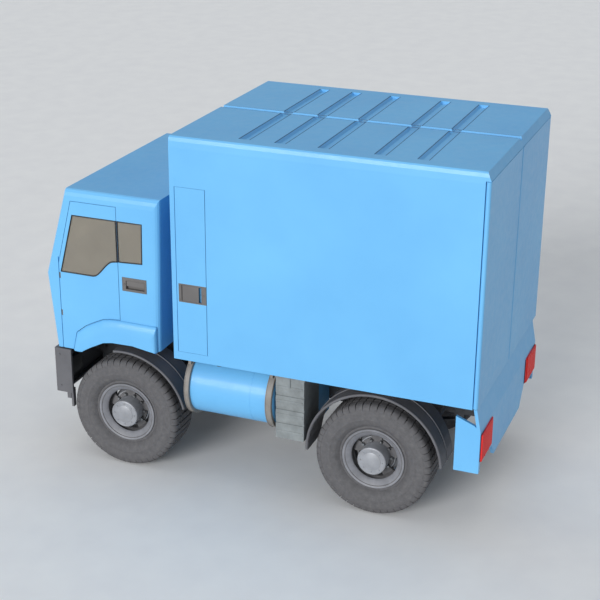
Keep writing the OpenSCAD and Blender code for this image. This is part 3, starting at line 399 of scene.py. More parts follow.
def evaluated(obj):
    """New mesh data with what the object's modifiers or bevel make."""
    bpy.context.view_layer.update()
    depsgraph = bpy.context.evaluated_depsgraph_get()
    return bpy.data.meshes.new_from_object(obj.evaluated_get(depsgraph))


def outwards(shape):
    bmesh.ops.recalc_face_normals(shape, faces=shape.faces)
    return shape


def moved(shape, by):
    bmesh.ops.translate(shape, verts=shape.verts, vec=by)
    return shape


def rotated(shape, degrees, axis):
    turn = Matrix.Rotation(math.radians(degrees), 3, axis)
    bmesh.ops.rotate(shape, verts=shape.verts, matrix=turn)
    return shape


def merged(shapes):
    whole = bmesh.new()
    for shape in shapes:
        mesh = as_mesh(shape, "part")
        whole.from_mesh(mesh)
        bpy.data.meshes.remove(mesh)
    return whole


def add_piece(name, shapes, body, finish, replaces=(), degrees=35):
    """Joins shapes into one piece that rides on a body, smooth up to an angle."""
    shapes = shapes if isinstance(shapes, list) else [shapes]
    mesh = as_mesh(merged(shapes), name)
    mesh.polygons.foreach_set("use_smooth", [True] * len(mesh.polygons))
    mesh.set_sharp_from_angle(angle=math.radians(degrees))
    mesh.materials.clear()
    mesh.materials.append(finish)
    obj = in_scene(name, mesh)
    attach(obj, body)
    if replaces:
        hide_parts(*replaces)
    return obj


# %% [markdown]
# ## Raw shapes
# The truck needs only four kinds of raw shape: an outline turned on a lathe, an outline drawn
# out along X, a block with broken edges, and a round bar bent along points. A bar is a curve with
# a bevel, because Blender then mitres its corners.

# %% Lathe, prism, block and bar
def turned(outline, centre=(0, 0, 0), axis="X", segments=96):
    """A closed outline of (radius, distance along the axis), turned about a line."""
    shape = bmesh.new()
    rings = []
    for k in range(segments):
        a = 2 * math.pi * k / segments
        c, s = math.cos(a), math.sin(a)
        ring = []
        for r, d in outline:
            offset = {"X": (d, r * c, r * s), "Y": (r * s, d, r * c), "Z": (r * c, r * s, d)}[axis]
            ring.append(shape.verts.new(Vector(centre) + Vector(offset)))
        rings.append(ring)
    n = len(outline)
    for k in range(segments):
        one, two = rings[k], rings[(k + 1) % segments]
        for i in range(n):
            j = (i + 1) % n
            if outline[i][0] > 1e-6 or outline[j][0] > 1e-6:
                shape.faces.new((one[i], one[j], two[j], two[i]))
    bmesh.ops.dissolve_degenerate(shape, dist=1e-6, edges=shape.edges)
    return outwards(shape)


def loft(ends):
    """A closed shape between two rings of points."""
    shape = bmesh.new()
    one, two = [[shape.verts.new(p) for p in ring] for ring in ends]
    for i in range(len(one)):
        j = (i + 1) % len(one)
        shape.faces.new((one[i], one[j], two[j], two[i]))
    shape.faces.new(one[::-1])
    shape.faces.new(two)
    return outwards(shape)


def prism(outline, x, edge=1.5 * MM):
    """An outline in Y and Z, drawn out between two X, with broken edges."""
    shape = loft([[(at, y, z) for y, z in outline] for at in x])
    if edge:
        bmesh.ops.bevel(shape, geom=shape.edges[:], offset=edge, segments=1, affect="EDGES",
                        profile=0.5)
    return shape


def block(low, high, edge=2 * MM):
    """A block between two corners, with broken edges."""
    shape = bmesh.new()
    bmesh.ops.create_cube(shape, size=1)
    for v in shape.verts:
        v.co = Vector([low[i] + (high[i] - low[i]) * (v.co[i] + 0.5) for i in range(3)])
    bmesh.ops.bevel(shape, geom=shape.edges[:], offset=edge, segments=2, affect="EDGES",
                    profile=0.5)
    return shape


def bar(points, radius, closed=False, resolution=3):
    """A round bar along a chain of points."""
    curve = bpy.data.curves.new("bar", "CURVE")
    curve.dimensions = "3D"
    curve.bevel_depth = radius
    curve.bevel_resolution = resolution
    curve.use_fill_caps = not closed
    line = curve.splines.new("POLY")
    line.points.add(len(points) - 1)
    for p, q in zip(line.points, points):
        p.co = (*q, 1)
    line.use_cyclic_u = closed
    holder = in_scene("bar", curve)
    shape = as_shape(evaluated(holder))
    bpy.data.objects.remove(holder)
    bpy.data.curves.remove(curve)
    return shape


# %% [markdown]
# ## Outlines
# A seal or a bead has to follow the model exactly, so its path is read from the faces of the
# model's own node. The other helpers draw a rounded rectangle, a smooth line through points and
# even steps along a line of corners.

# %% Outlines read and drawn
def face_loops(node, out, where=lambda p: True):
    """Closed outlines of a node's flat faces that look one way, the longest first."""
    shape = bmesh.new()
    shape.from_mesh(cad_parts[node].data)
    bmesh.ops.remove_doubles(shape, verts=shape.verts, dist=2e-5)
    shape.normal_update()
    out = Vector(out)
    flat = [f for f in shape.faces if f.normal.dot(out) > 0.985 and where(f.calc_center_median())]
    nexts = {}
    for f in flat:
        for loop in f.loops:
            # An edge with only one flat face beside it is on the outline
            if sum(g in flat for g in loop.edge.link_faces) == 1:
                nexts[loop.vert.index] = loop.link_loop_next.vert
    places = {v.index: v.co.copy() for v in shape.verts}
    loops = []
    while nexts:
        here, chain = next(iter(nexts)), []
        while here in nexts:
            chain.append(places[here])
            here = nexts.pop(here).index
        loops.append(chain)
    shape.free()
    return sorted(loops, key=lambda c: -sum((a - b).length for a, b in zip(c, c[1:] + c[:1])))


def widened(points, distance, normal):
    """A flat outline moved outwards by a distance in its own plane."""
    n = len(points)
    centre = sum(points, Vector()) / n
    normal = Vector(normal)
    area = sum((points[i] - centre).cross(points[(i + 1) % n] - centre).dot(normal)
               for i in range(n))
    turn = 1 if area > 0 else -1
    out = []
    for i in range(n):
        a = (points[i] - points[i - 1]).normalized()
        b = (points[(i + 1) % n] - points[i]).normalized()
        na, nb = a.cross(normal) * turn, b.cross(normal) * turn
        mean = na + nb
        out.append(points[i] + mean * (distance / max(0.35, mean.dot(na))))
    return out


def rounded(y, z, radius, x, steps=5):
    """A rounded rectangle in Y and Z at one X."""
    corners = ((y[1] - radius, z[1] - radius), (y[0] + radius, z[1] - radius),
               (y[0] + radius, z[0] + radius), (y[1] - radius, z[0] + radius))
    out = []
    for quarter, (cy, cz) in enumerate(corners):
        for k in range(steps + 1):
            a = math.radians(90 * quarter + 90 * k / steps)
            out.append(Vector((x, cy + radius * math.cos(a), cz + radius * math.sin(a))))
    return out


def curved(points, steps=4):
    """A smooth line through points."""
    out = []
    n = len(points)
    for i in range(n - 1):
        p0, p1, p2, p3 = (Vector(points[max(0, min(n - 1, i + k))]) for k in (-1, 0, 1, 2))
        for s in range(steps):
            t = s / steps
            out.append(0.5 * ((2 * p1) + (p2 - p0) * t + (2 * p0 - 5 * p1 + 4 * p2 - p3) * t * t
                              + (3 * p1 - p0 - 3 * p2 + p3) * t ** 3))
    return out + [Vector(points[-1])]


def clamped(value):
    return max(0.0, min(1.0, value))


def spaced(points, count):
    """Points at even steps along a line of corners."""
    points = [Vector(p) for p in points]
    lengths = [0.0]
    for a, b in zip(points, points[1:]):
        lengths.append(lengths[-1] + (b - a).length)
    out, i = [], 0
    for k in range(count):
        want = lengths[-1] * k / (count - 1)
        while i < len(points) - 2 and lengths[i + 1] < want:
            i += 1
        t = (want - lengths[i]) / (lengths[i + 1] - lengths[i])
        out.append(points[i].lerp(points[i + 1], clamped(t)))
    return out


# %% [markdown]
# ## One tree for everything that repeats
# Tread blocks, wheel nuts, bolts, grille slats and lens ribs are all one shape set down again
# and again with a fixed step or a fixed turn. A single Geometry Nodes tree does both: it lays
# points on a line, turns each copy a little further than the last, then makes the copies real.

# %% The repeating tree
def repeating_tree():
    tree = bpy.data.node_groups.new("repeat_with_step_and_turn", "GeometryNodeTree")
    for label, kind in (("Shape", "Geometry"), ("Count", "Int"), ("Step", "Vector"),
                        ("Turn", "Vector"), ("Pivot", "Vector")):
        tree.interface.new_socket(label, in_out="INPUT", socket_type=f"NodeSocket{kind}")
    tree.interface.new_socket("Copies", in_out="OUTPUT", socket_type="NodeSocketGeometry")
    given = add(tree, "NodeGroupInput").outputs
    points = add(tree, "GeometryNodeMeshLine", {
        "Count": given["Count"], "Start Location": given["Pivot"], "Offset": given["Step"]},
        mode="OFFSET")
    order = add(tree, "GeometryNodeInputIndex")
    angle = add(tree, "ShaderNodeVectorMath", {0: given["Turn"], "Scale": order.outputs["Index"]},
                operation="SCALE")
    copies = add(tree, "GeometryNodeInstanceOnPoints", {
        "Points": points.outputs["Mesh"], "Instance": given["Shape"],
        "Rotation": angle.outputs["Vector"]})
    real = add(tree, "GeometryNodeRealizeInstances", {"Geometry": copies.outputs["Instances"]})
    add(tree, "NodeGroupOutput", {"Copies": real.outputs["Geometry"]})
    return tree


REPEAT = repeating_tree()
SOCKETS = {item.name: item.identifier for item in REPEAT.interface.items_tree
           if item.in_out == "INPUT"}


def repeated(shape, count, step=(0, 0, 0), turn=(0, 0, 0), pivot=(0, 0, 0)):
    """Copies of a shape, which is drawn with the pivot as its origin."""
    bmesh.ops.remove_doubles(shape, verts=shape.verts, dist=1e-5)
    seed = as_mesh(outwards(shape), "seed")
    holder = in_scene("seed", seed)
    modifier = holder.modifiers.new("repeat", "NODES")
    modifier.node_group = REPEAT
    for label, value in (("Count", count), ("Step", step), ("Turn", turn), ("Pivot", pivot)):
        modifier[SOCKETS[label]] = value
    copies = as_shape(evaluated(holder))
    bpy.data.objects.remove(holder)
    bpy.data.meshes.remove(seed)
    return copies


# %% [markdown]
# ## Bolt heads, nuts and rivets
# A fastener head is a small turned shape: six sides for a nut or bolt, more for a rivet. It is
# drawn once about the origin, pointing along X, then turned to face its panel, and the repeating
# tree sets it down in rows or rings.

# %% Fastener heads
def head(radius, height, sides=6):
    """A fastener's head along X, sunk by a third of its height, with a broken top edge."""
    sunk, shoulder = -height * 0.3, height * (1 - 0.3)
    outline = [(0, sunk), (radius, sunk), (radius, shoulder), (radius * 0.72, height), (0, height)]
    return turned(outline, segments=sides)


def facing(shape, direction):
    """Turns a shape drawn along +X to point along another direction."""
    spin = Vector((1, 0, 0)).rotation_difference(Vector(direction)).to_matrix().to_4x4()
    bmesh.ops.transform(shape, matrix=spin, verts=shape.verts)
    return shape


def row(radius, height, direction, start, end, count, sides=6):
    """Heads at even steps between two places."""
    start, end = Vector(start), Vector(end)
    step = (end - start) / max(1, count - 1)
    return repeated(facing(head(radius, height, sides), direction), count, step, pivot=start)


def ring(shape, count, centre):
    """Copies of a shape in a ring about a wheel's axis."""
    return repeated(shape, count, turn=(2 * math.pi / count, 0, 0), pivot=centre)


print("helpers ready")

# %% [markdown]
# # Wheels
# A truck tyre is a smooth carcass with a tread of rubber blocks vulcanised to it. The carcass is
# turned from a section with its rim protector, its mould rings and a round shoulder. The section
# is given as heights above the rim's flange and as distances in from the tyre's widest point. The
# blocks repeat, so the tree sets them down in a ring. Their count gives the pitch that such tyres
# have, about 70 mm.

# %% Tyre section and tread blocks
RIM_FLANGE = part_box("rim_front_left")[1].z - WHEELS["front_left"][0].z
BLOCKS = 48
BLOCK_DEPTH = 15 * MM
# Ribs across the tread: from X, to X, and how far the blocks slant
TREAD_RIBS = ((-0.120, -0.072, 0.25), (-0.065, -0.020, 0.12), (-0.014, 0.014, 0.0),
              (0.020, 0.065, -0.12), (0.072, 0.120, -0.25))
TREAD_BLOCK, SHOULDER_BLOCK = 62 * MM, 63 * MM


def tyre_section():
    r, w, f = tyre_r - BLOCK_DEPTH, tyre_half, RIM_FLANGE
    # Bead seat and rim protector
    side = [(f - 0.0155, w - 0.106), (f - 0.0155, w - 0.066), (f + 0.002, w - 0.052)]
    side += [(f + 0.010, w - 0.046), (f + 0.018, w - 0.046), (f + 0.026, w - 0.050)]
    # Sidewall with one raised mould ring
    side += curved([(f + 0.034, w - 0.040), (f + 0.06, w - 0.017), (f + 0.09, w - 0.005)])
    side += [(f + 0.105, w - 0.002), (f + 0.108, w - 0.0002), (f + 0.116, w - 0.0002),
             (f + 0.119, w - 0.002)]
    # Round shoulder up to the tread's base
    side += curved([(f + 0.135, w - 0.001), (f + 0.175, w - 0.0015), (tyre_r - 0.056, w - 0.006),
                    (tyre_r - 0.034, w - 0.018), (r - 0.004, w - 0.044), (r, w - 0.066)])
    inner = [(f - 0.0155, w - 0.108), (f + 0.04, w - 0.10), (r - 0.05, w - 0.06),
             (r - 0.03, w - 0.10)]
    outer = side + [(p[0], -p[1]) for p in reversed(side)]
    return outer + [(p[0], -p[1]) for p in inner] + [p for p in reversed(inner)]


def tread_block(low_x, high_x, slant):
    """A rubber block on the tyre's top, about the wheel's axis, with a rounded crown."""
    base, top, half = tyre_r - BLOCK_DEPTH - 0.006, tyre_r - 0.0006, TREAD_BLOCK / 2
    shape = block((low_x, -half, base), (high_x, half, top), 0.0)
    for v in shape.verts:
        v.co.y += slant * (v.co.x - (low_x + high_x) / 2)
        if v.co.z > top - 0.001:
            v.co.y *= 0.94
            v.co.z = math.sqrt(top * top - v.co.y * v.co.y)
    return shape


def shoulder_block(side):
    """A block that runs from the tread over the tyre's shoulder."""
    w, r, half = tyre_half, tyre_r, SHOULDER_BLOCK / 2
    section = [(w - 0.075, r - 0.020), (w - 0.075, r - 0.0008), (w - 0.045, r - 0.002),
               (w - 0.023, r - 0.011), (w - 0.010, r - 0.030), (w - 0.0045, r - 0.052),
               (w - 0.012, r - 0.060), (w - 0.030, r - 0.036)]
    return loft([[(side * x, y * (0.95 if z > r - 0.01 else 1), z) for x, z in section]
                 for y in (-half, half)])


def tyre(centre, sign):
    """The carcass and its blocks, as a list of shapes."""
    rubber = [turned([(r, d * sign) for r, d in tyre_section()], centre, segments=144)]
    rubber += [ring(tread_block(*rib), BLOCKS, centre) for rib in TREAD_RIBS]
    return rubber + [ring(shoulder_block(side), BLOCKS, centre) for side in (-1, 1)]


pitch = round(2 * math.pi * tyre_r / BLOCKS / MM)
print("tyre section points", len(tyre_section()), "block pitch mm", pitch)

# %% [markdown]
# ## Tyres, rims and hub caps
# The tyre replaces the model's plain one. The rim and the hub keep the model's shape, and gain
# what a fitter would touch: ten wheel nuts, the cap's rolled edge with its screws and raised
# centre, and the valve. The rim's outer face is a coned ring with a rolled lip, turned from one
# section and sprayed lighter than the disc behind it.

# %% Tyre, nuts, cap trim, rim face and valve
DISC_X = 62 * MM
CAP_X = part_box("hub_front_left")[1].x - WHEELS["front_left"][0].x
HUB_R = 136 * MM
NUT_RING = (HUB_R + 168 * MM) / 2
NUTS, CAP_SCREWS, CAP_SCREW_RING = 10, 8, 105 * MM
CAP_LIP = [(HUB_R - 0.012 + 0.004 * math.cos(a), CAP_X - 0.006 + 0.007 * math.sin(a))
           for a in [k * math.pi / 6 for k in range(12)]]
CAP_BOSS = [(0, CAP_X - 0.004), (0.088, CAP_X - 0.004), (0.088, CAP_X + 0.002),
            (0.083, CAP_X + 0.005), (0, CAP_X + 0.005)]
RIM_FACE = [(0.2965, 0.1565), (0.293, 0.1605), (0.284, 0.160), (0.262, 0.147), (0.238, 0.130),
            (0.226, 0.121), (0.221, 0.113), (0.223, 0.107), (0.230, 0.110), (0.244, 0.124),
            (0.268, 0.141), (0.285, 0.152)]
VALVE = ((0.262, 0.06), (0.255, 0.09), (0.248, 0.118), (0.247, 0.135))

for wheel, (centre, sign) in WHEELS.items():
    body = f"wheel_{wheel}"
    add_piece(f"tread_{wheel}", tyre(centre, sign), body, tyre_rubber,
              [f"tyre_{wheel}"], 40)
    nut = moved(facing(head(16 * MM, 26 * MM), (sign, 0, 0)), (sign * DISC_X, NUT_RING, 0))
    add_piece(f"wheel_nuts_{wheel}", ring(nut, NUTS, centre), body, bolt_steel)
    trim = [turned([(r, d * sign) for r, d in section], centre) for section in (CAP_LIP, CAP_BOSS)]
    screw = moved(facing(head(7 * MM, 6 * MM), (sign, 0, 0)), (sign * CAP_X, CAP_SCREW_RING, 0))
    trim.append(ring(screw, CAP_SCREWS, centre))
    add_piece(f"cap_trim_{wheel}", trim, body, hub_enamel)
    cone = turned([(r, d * sign) for r, d in RIM_FACE], centre, segments=120)
    add_piece(f"rim_face_{wheel}", cone, body, rim_face_enamel)
    stem = bar([centre + Vector((sign * d, 0, r)) for r, d in VALVE], 4.5 * MM)
    add_piece(f"valve_{wheel}", stem, body, bolt_steel)
print("wheels dressed", len(WHEELS))

# %% [markdown]
# # Cab
# The wheel flares are pressed panels that swell smoothly out of the cab's side and end in a
# rolled lip over the arch. The model builds them in four layers. A single skin just outside those
# layers gives the pressed shape: rows of points run from the top edge out and down, then across
# the flat face to the arch, and fold inwards at the lip. A solidify modifier gives the skin the
# thickness of sheet.

# %% Wheel flare skins
# Lines in mm: along the truck from the axle, and up from the ground
FLARE_TOP = [(-520, 1146), (-476, 1324), (-372, 1407), (-270, 1461), (-188, 1500), (-106, 1516),
             (-8, 1522), (190, 1520), (378, 1518), (378, 1262)]
FLARE_ARCH = [(-427, 1146), (-326, 1206), (-182, 1279), (-85, 1296), (128, 1299), (316, 1269),
              (378, 1262)]
FLARE_POINTS = 120


def flare_skin(sign):
    stand = flare_x - cab_x
    top, arch = spaced(FLARE_TOP, FLARE_POINTS), spaced(FLARE_ARCH, FLARE_POINTS)
    rows = []
    # The swelling, steeper towards the bottom, with less of it at the front and rear ends
    for t in (0, 0.12, 0.25, 0.4, 0.55, 0.7, 0.82, 0.92, 1.0):
        line = []
        for p in top:
            back = 30 * t * t * clamped((-60 - p.x) / 400) - 15 * t * t * clamped((p.x - 330) / 48)
            drop = 64 * t * t * clamped((p.y - 1262) / 70)
            line.append((cab_x + 0.001 + stand * t, p.x + back, p.y - drop))
        rows.append(line)
    # The nearly flat face, then the lip folded in under the arch
    last = rows[-1]
    for t in (0.35, 0.7, 1.0):
        rows.append([(flare_x + 0.001 + 0.004 * math.sin(math.pi * t), q[1] + (a.x - q[1]) * t,
                      q[2] + (a.y - q[2]) * t) for q, a in zip(last, arch)])
    for inward, drop in ((0.003, 3), (0.010, 5), (0.030, 4), (0.060, 2)):
        rows.append([(flare_x - inward, a.x, a.y - drop * 0.6) for a in arch])
    shape = bmesh.new()
    grid = [[shape.verts.new((sign * x, axle_y + y * MM, z * MM)) for x, y, z in line]
            for line in rows]
    for one, two in zip(grid, grid[1:]):
        for i in range(FLARE_POINTS - 1):
            shape.faces.new((one[i], one[i + 1], two[i + 1], two[i]))
    outwards(shape)
    if sum((f.normal.x for f in shape.faces), 0.0) * sign < 0:
        bmesh.ops.reverse_faces(shape, faces=shape.faces)
    return shape


for side, sign in SIDES:
    panel = add_piece(f"wheel_flare_{side}", flare_skin(sign), "cab", cab_enamel,
                      degrees=50)
    sheet = panel.modifiers.new("sheet", "SOLIDIFY")
    sheet.thickness = 0.9 * MM
    sheet.offset = 1
print("flare stands out mm", round((flare_x - cab_x) / MM))

# %% [markdown]
# ## Glazing rubber
# Each pane is held by an extruded rubber that shows as a dark line round the glass. Its path is
# the pane's own outline, moved a few millimetres onto the glass so that the door's edge stays
# free. A round section catches the same thin highlight as the real lip.

# %% Rubbers round the panes
PROUD = 3 * MM
RUBBER_R, SCREEN_RUBBER_R = 6 * MM, 11 * MM
SCREEN_RAKE = math.radians(15.77)


def pane_rubber(name, node, out, inset, radius, body, where=lambda p: True):
    """A rubber bar along the outline of a pane's outer face."""
    pane = face_loops(node, out, where)[0]
    line = [p + Vector(out) * PROUD for p in widened(pane, -inset, out)]
    add_piece(name, bar(line, radius, True), body, seal_rubber)
    return len(pane)


corners = []
for side, sign in SIDES:
    out = (sign, 0, 0)
    corners.append(pane_rubber(f"door_glass_rubber_{side}", f"door_glass_{side}", out, 6 * MM,
                               RUBBER_R, f"door_{side}"))
    corners.append(pane_rubber(f"quarter_glass_rubber_{side}", "fixed_glass", out, 6 * MM,
                               RUBBER_R, "cab", lambda p: p.x * sign > cab_x - 0.03))
screen_out = (0, -math.cos(SCREEN_RAKE), math.sin(SCREEN_RAKE))
corners.append(pane_rubber("windscreen_rubber", "fixed_glass", screen_out, 4 * MM,
                           SCREEN_RUBBER_R, "cab", lambda p: abs(p.x) < cab_x - 0.08))
print("corners in the panes' outlines", corners)

# %% [markdown]
# ## Grille
# The slots under the windscreen need slats and a mesh behind them, or the eye would look into the
# cab. The panel leans, so the step from one slat to the next has a share of that lean in it. The
# mesh is a plate with thin upright bars, set down by the same tree.

# %% Grille slats and backing
NOSE_FOOT, NOSE_HEAD, NOSE_LEAN = 1.146, 1.896, 0.072
GRILLE_FOOT, GRILLE_HEAD, GRILLE_MID = 1.335, 1.71, 1.52
SLOTS, SLOT_STEP, FIRST_SLOT = 6, 70 * MM, 1.347
MESH_BARS, MESH_STEP = 42, 30 * MM


def nose_y(z):
    """Outer face of the cab's lower front at a height."""
    return front_y + NOSE_LEAN * (NOSE_HEAD - z) / (NOSE_HEAD - NOSE_FOOT)


lean = -NOSE_LEAN / (NOSE_HEAD - NOSE_FOOT) * SLOT_STEP
slat = prism([(0.006, -0.010), (0.024, -0.004), (0.026, 0.004), (0.008, 0.010)], (-0.618, 0.618))
slats = repeated(slat, SLOTS, (0, lean, SLOT_STEP), pivot=(0, nose_y(FIRST_SLOT), FIRST_SLOT))
add_piece("grille_slats", slats, "cab", grey_plastic)
foot_y, head_y = nose_y(GRILLE_FOOT), nose_y(GRILLE_HEAD)
backing = prism([(foot_y + 0.036, GRILLE_FOOT), (foot_y + 0.042, GRILLE_FOOT),
                 (head_y + 0.042, GRILLE_HEAD), (head_y + 0.036, GRILLE_HEAD)], (-0.66, 0.66))
upright = prism([(0.026, -0.2), (0.032, -0.2), (-0.006, 0.2), (-0.012, 0.2)], (-0.003, 0.003), 0)
uprights = repeated(upright, MESH_BARS, (MESH_STEP, 0, 0),
                    pivot=(-0.615, nose_y(GRILLE_MID) + 0.020, GRILLE_MID))
add_piece("grille_backing", [backing, uprights], "cab", wiper_black)
print("slats", SLOTS, "mesh bars", MESH_BARS)

# %% [markdown]
# ## Handle cups
# Each door handle sits in a moulded cup. A thin bead runs round the cup's mouth and another round
# its plate, and beside the mouth there is a lock barrel with a key hole. Beads like these are what
# makes a flat recess read as a separate moulding.

# %% Handle cup beads and lock barrels
CUP_Y, CUP_Z = (axle_y + 0.073, axle_y + 0.263), (1.856, 1.938)
PLATE_Y, PLATE_Z = (axle_y + 0.035, axle_y + 0.283), (1.836, 1.968)
BARREL = [(0, 0), (0.011, 0), (0.011, 0.004), (0.009, 0.006), (0.004, 0.006), (0.004, 0.003),
          (0, 0.003)]
for side, sign in SIDES:
    at = sign * (cab_x + 0.002)
    mouth = [(low - 0.004, high + 0.004) for low, high in (CUP_Y, CUP_Z)]
    beads = [bar(rounded(*mouth, 8 * MM, at), 3 * MM, True),
             bar(rounded(PLATE_Y, PLATE_Z, 6 * MM, at), 2.5 * MM, True)]
    lock = facing(turned(BARREL, segments=24), (sign, 0, 0))
    beads.append(moved(lock, (at, axle_y + 0.053, sum(PLATE_Z) / 2)))
    add_piece(f"handle_cup_trim_{side}", beads, "cab", handle_plastic)
print("handle cups trimmed")

# %% [markdown]
# # Cargo box
# The rear doors are flush, so their detail is in the edges: a cover strip on the left door narrows
# the gap to the right one. It stays clear of the right door, so either can open first.

# %% Rear cover strip
door_low, door_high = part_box("rear_door_left")
strip = block((-3 * MM, door_rear_y - 9 * MM, door_low.z + 4 * MM),
              (19 * MM, door_rear_y + 4 * MM, door_high.z - 4 * MM), 2.5 * MM)
add_piece("rear_cover_strip", strip, "rear_door_left", cab_enamel)
print("cover strip height", round(door_high.z - door_low.z, 3))

# %% [markdown]
# ## Roof sealer, cargo rails and lamp
# The roof channels are bordered by beads of seam sealer, whose darker blue is painted shade that
# outlines each channel. Inside the hold, slotted rails run along the walls for straps: two flanges
# with cross pieces between them, set down by the tree. A lamp strip runs under the roof.

# %% Roof sealer, cargo rails and lamp
CHANNELS = [mm * MM for mm in (660, 993, 1391, 1896, 2272)]
CHANNEL_HALF, CENTRE_HALF, CHANNEL_END = 51 * MM, 38 * MM, 0.998
RAIL_HEIGHTS, RAIL_STEP = (1.85, 2.45), 100 * MM
bead_z = roof_top - 1.5 * MM
sealing = []
for back in CHANNELS:
    for edge in (-CHANNEL_HALF, CHANNEL_HALF):
        for sign in (-1, 1):
            across = (CENTRE_HALF, 0.3, 0.6, CHANNEL_END)
            y = box_front_y + (back + edge)
            sealing.append(bar([Vector((sign * x, y, bead_z)) for x in across], 4 * MM))
for sign in (-1, 1):
    along = (box_front_y + 0.004, 0.5, door_rear_y - 0.05)
    sealing.append(bar([Vector((sign * CENTRE_HALF, y, bead_z)) for y in along], 3 * MM))
# The beads' darker blue is painted shade that outlines each roof channel.
add_piece("roof_channel_sealer_painted_shade", sealing, "chassis", sealer_painted_shade)

rails = []
wall_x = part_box("box_floor")[1].x
rail_end = door_rear_y - 0.12
for sign in (-1, 1):
    # The left rail starts behind the locker
    start = box_front_y + (0.40 if sign > 0 else 0.06)
    low_x, high_x = sorted((sign * (wall_x + 2 * MM), sign * (wall_x - 8 * MM)))
    for z in RAIL_HEIGHTS:
        for low_z in (z - 0.06, z + 0.022):
            rails.append(block((low_x, start, low_z), (high_x, rail_end, low_z + 0.038)))
        cross = block((low_x, -0.020, -0.024), (high_x, 0.020, 0.024), 0.0)
        rails.append(repeated(cross, int((rail_end - 0.04 - start) / RAIL_STEP), (0, RAIL_STEP, 0),
                              pivot=(0, start + 0.02, z)))
add_piece("cargo_tie_rails", rails, "chassis", deck_metal)
strip_lamp = block((-0.03, box_front_y + 0.25, roof_top - 0.082),
                   (0.03, door_rear_y - 0.30, roof_top - 0.058), 6 * MM)
add_piece("cargo_lamp_strip", strip_lamp, "chassis", lamp_clear)
print("sealer beads", len(sealing), "rail parts", len(rails))

# %% [markdown]
# ## Locker plate
# The locker's handle plate gets a bead round its paddle, four small screws and a lock barrel.
# The screws come in two rows of two, at the plate's front and rear ends.

# %% Locker plate details
plate_low, plate_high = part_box("locker_plate")
plate_x, plate_mid_z = plate_high.x, (plate_low.z + plate_high.z) / 2
mouth = rounded((plate_low.y + 0.026, plate_high.y - 0.045),
                (plate_low.z + 0.010, plate_high.z - 0.010), 6 * MM, plate_x)
details = [bar(mouth, 2 * MM, True)]
for y in (plate_low.y + 0.012, plate_high.y - 0.014):
    details.append(row(4.5 * MM, 3 * MM, (1, 0, 0), (plate_x, y, plate_low.z + 0.022),
                       (plate_x, y, plate_high.z - 0.022), 2, 12))
details.append(moved(head(9 * MM, 4 * MM, 20), (plate_x, plate_high.y - 0.030, plate_mid_z)))
add_piece("locker_plate_trim", details, "locker_door", handle_plastic)
print("locker plate at x", round(plate_x, 3))

# %% [markdown]
# # Lamps and bumper
# A headlamp is a plastic shell with two bright reflector bowls behind a clear, fluted lens, so it
# is made of those parts and stands in for the model's plain block. The bowls are parabolas turned
# on the lathe, as the real ones are.

# %% Headlamps
lamp_low, lamp_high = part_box("headlamps")
lamp_in, lamp_front = lamp_high.x - 0.300, lamp_low.y
lamp_mid = (lamp_low.z + lamp_high.z) / 2
HOOD, WALL = (lamp_front + 0.006, lamp_front + 0.052), 12 * MM
BOWL_R, BOWL_DEPTH, BOWL_BACK = 70 * MM, 36 * MM, lamp_front + 0.049
FLUTE = [(0.001, -0.076), (-0.0015, -0.074), (-0.0015, 0.074), (0.001, 0.076)]
bowl = [(r, BOWL_BACK - BOWL_DEPTH * (r / BOWL_R) ** 2)
        for r in (0, 0.02, 0.035, 0.05, 0.06, BOWL_R)]
bowl += [(0.072, lamp_front + 0.013), (0.072, lamp_front + 0.0505), (0, lamp_front + 0.0505)]
shells, lenses, bowls = [], [], []
for side, sign in SIDES:
    low_x, high_x = sorted((sign * lamp_in, sign * lamp_high.x))
    shells.append(block((low_x, lamp_front + 0.050, lamp_low.z), (high_x, lamp_high.y, lamp_high.z),
                        4 * MM))
    for z in (lamp_low.z, lamp_high.z - WALL):
        shells.append(block((low_x, HOOD[0], z), (high_x, HOOD[1], z + WALL), 1 * MM))
    for x in (low_x, high_x - WALL):
        shells.append(block((x, HOOD[0], lamp_low.z), (x + WALL, HOOD[1], lamp_high.z), 1 * MM))
    lenses.append(block((low_x + 0.001, lamp_front, lamp_low.z + 0.001),
                        (high_x - 0.001, lamp_front + 0.005, lamp_high.z - 0.001), 1.5 * MM))
    lenses.append(repeated(prism(FLUTE, (-0.0022, 0.0022), 0), 22, (12.5 * MM, 0, 0),
                           pivot=(low_x + 0.018, lamp_front, lamp_mid)))
    for x in (low_x + 0.078, high_x - 0.078):
        bowls.append(turned(bowl, (x, 0, lamp_mid), "Y", 48))
add_piece("headlamp_lenses", [outwards(s) for s in lenses], "chassis", lamp_clear,
          ["headlamps"])
add_piece("headlamp_bowls", bowls, "chassis", chrome)
add_piece("headlamp_shells", [outwards(s) for s in shells], "chassis", trim_plastic)
print("headlamp bowls", len(bowls))

# %% [markdown]
# ## Bumper fittings
# Two moulded ribs run along the bumper, a bead frames each headlamp, and two bolts hold each end.
# The number plate is a blank white pressing with a screw at either end, because plates carry
# lettering that has no place on a library part.

# %% Bumper fittings and blank plate
bumper_low, bumper_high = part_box("front_bumper")
face_y = bumper_low.y
trims = [block((-1.04, face_y - 0.005, z), (1.04, face_y + 0.004, z + 0.018))
         for z in (0.722, 0.985)]
for sign in (-1, 1):
    frame_x = (lamp_in - WALL, lamp_high.x + WALL)
    corners = ((frame_x[0], 0.748), (frame_x[1], 0.748), (frame_x[1], 0.952), (frame_x[0], 0.952))
    trims.append(bar([Vector((sign * x, face_y, z)) for x, z in corners], 7 * MM, True))
    end_x, bolt_y = sign * bumper_high.x, face_y + 0.05
    trims.append(row(9 * MM, 7 * MM, (sign, 0, 0), (end_x, bolt_y, 0.73), (end_x, bolt_y, 1.06), 2))
add_piece("bumper_trim", trims, "chassis", grey_plastic)

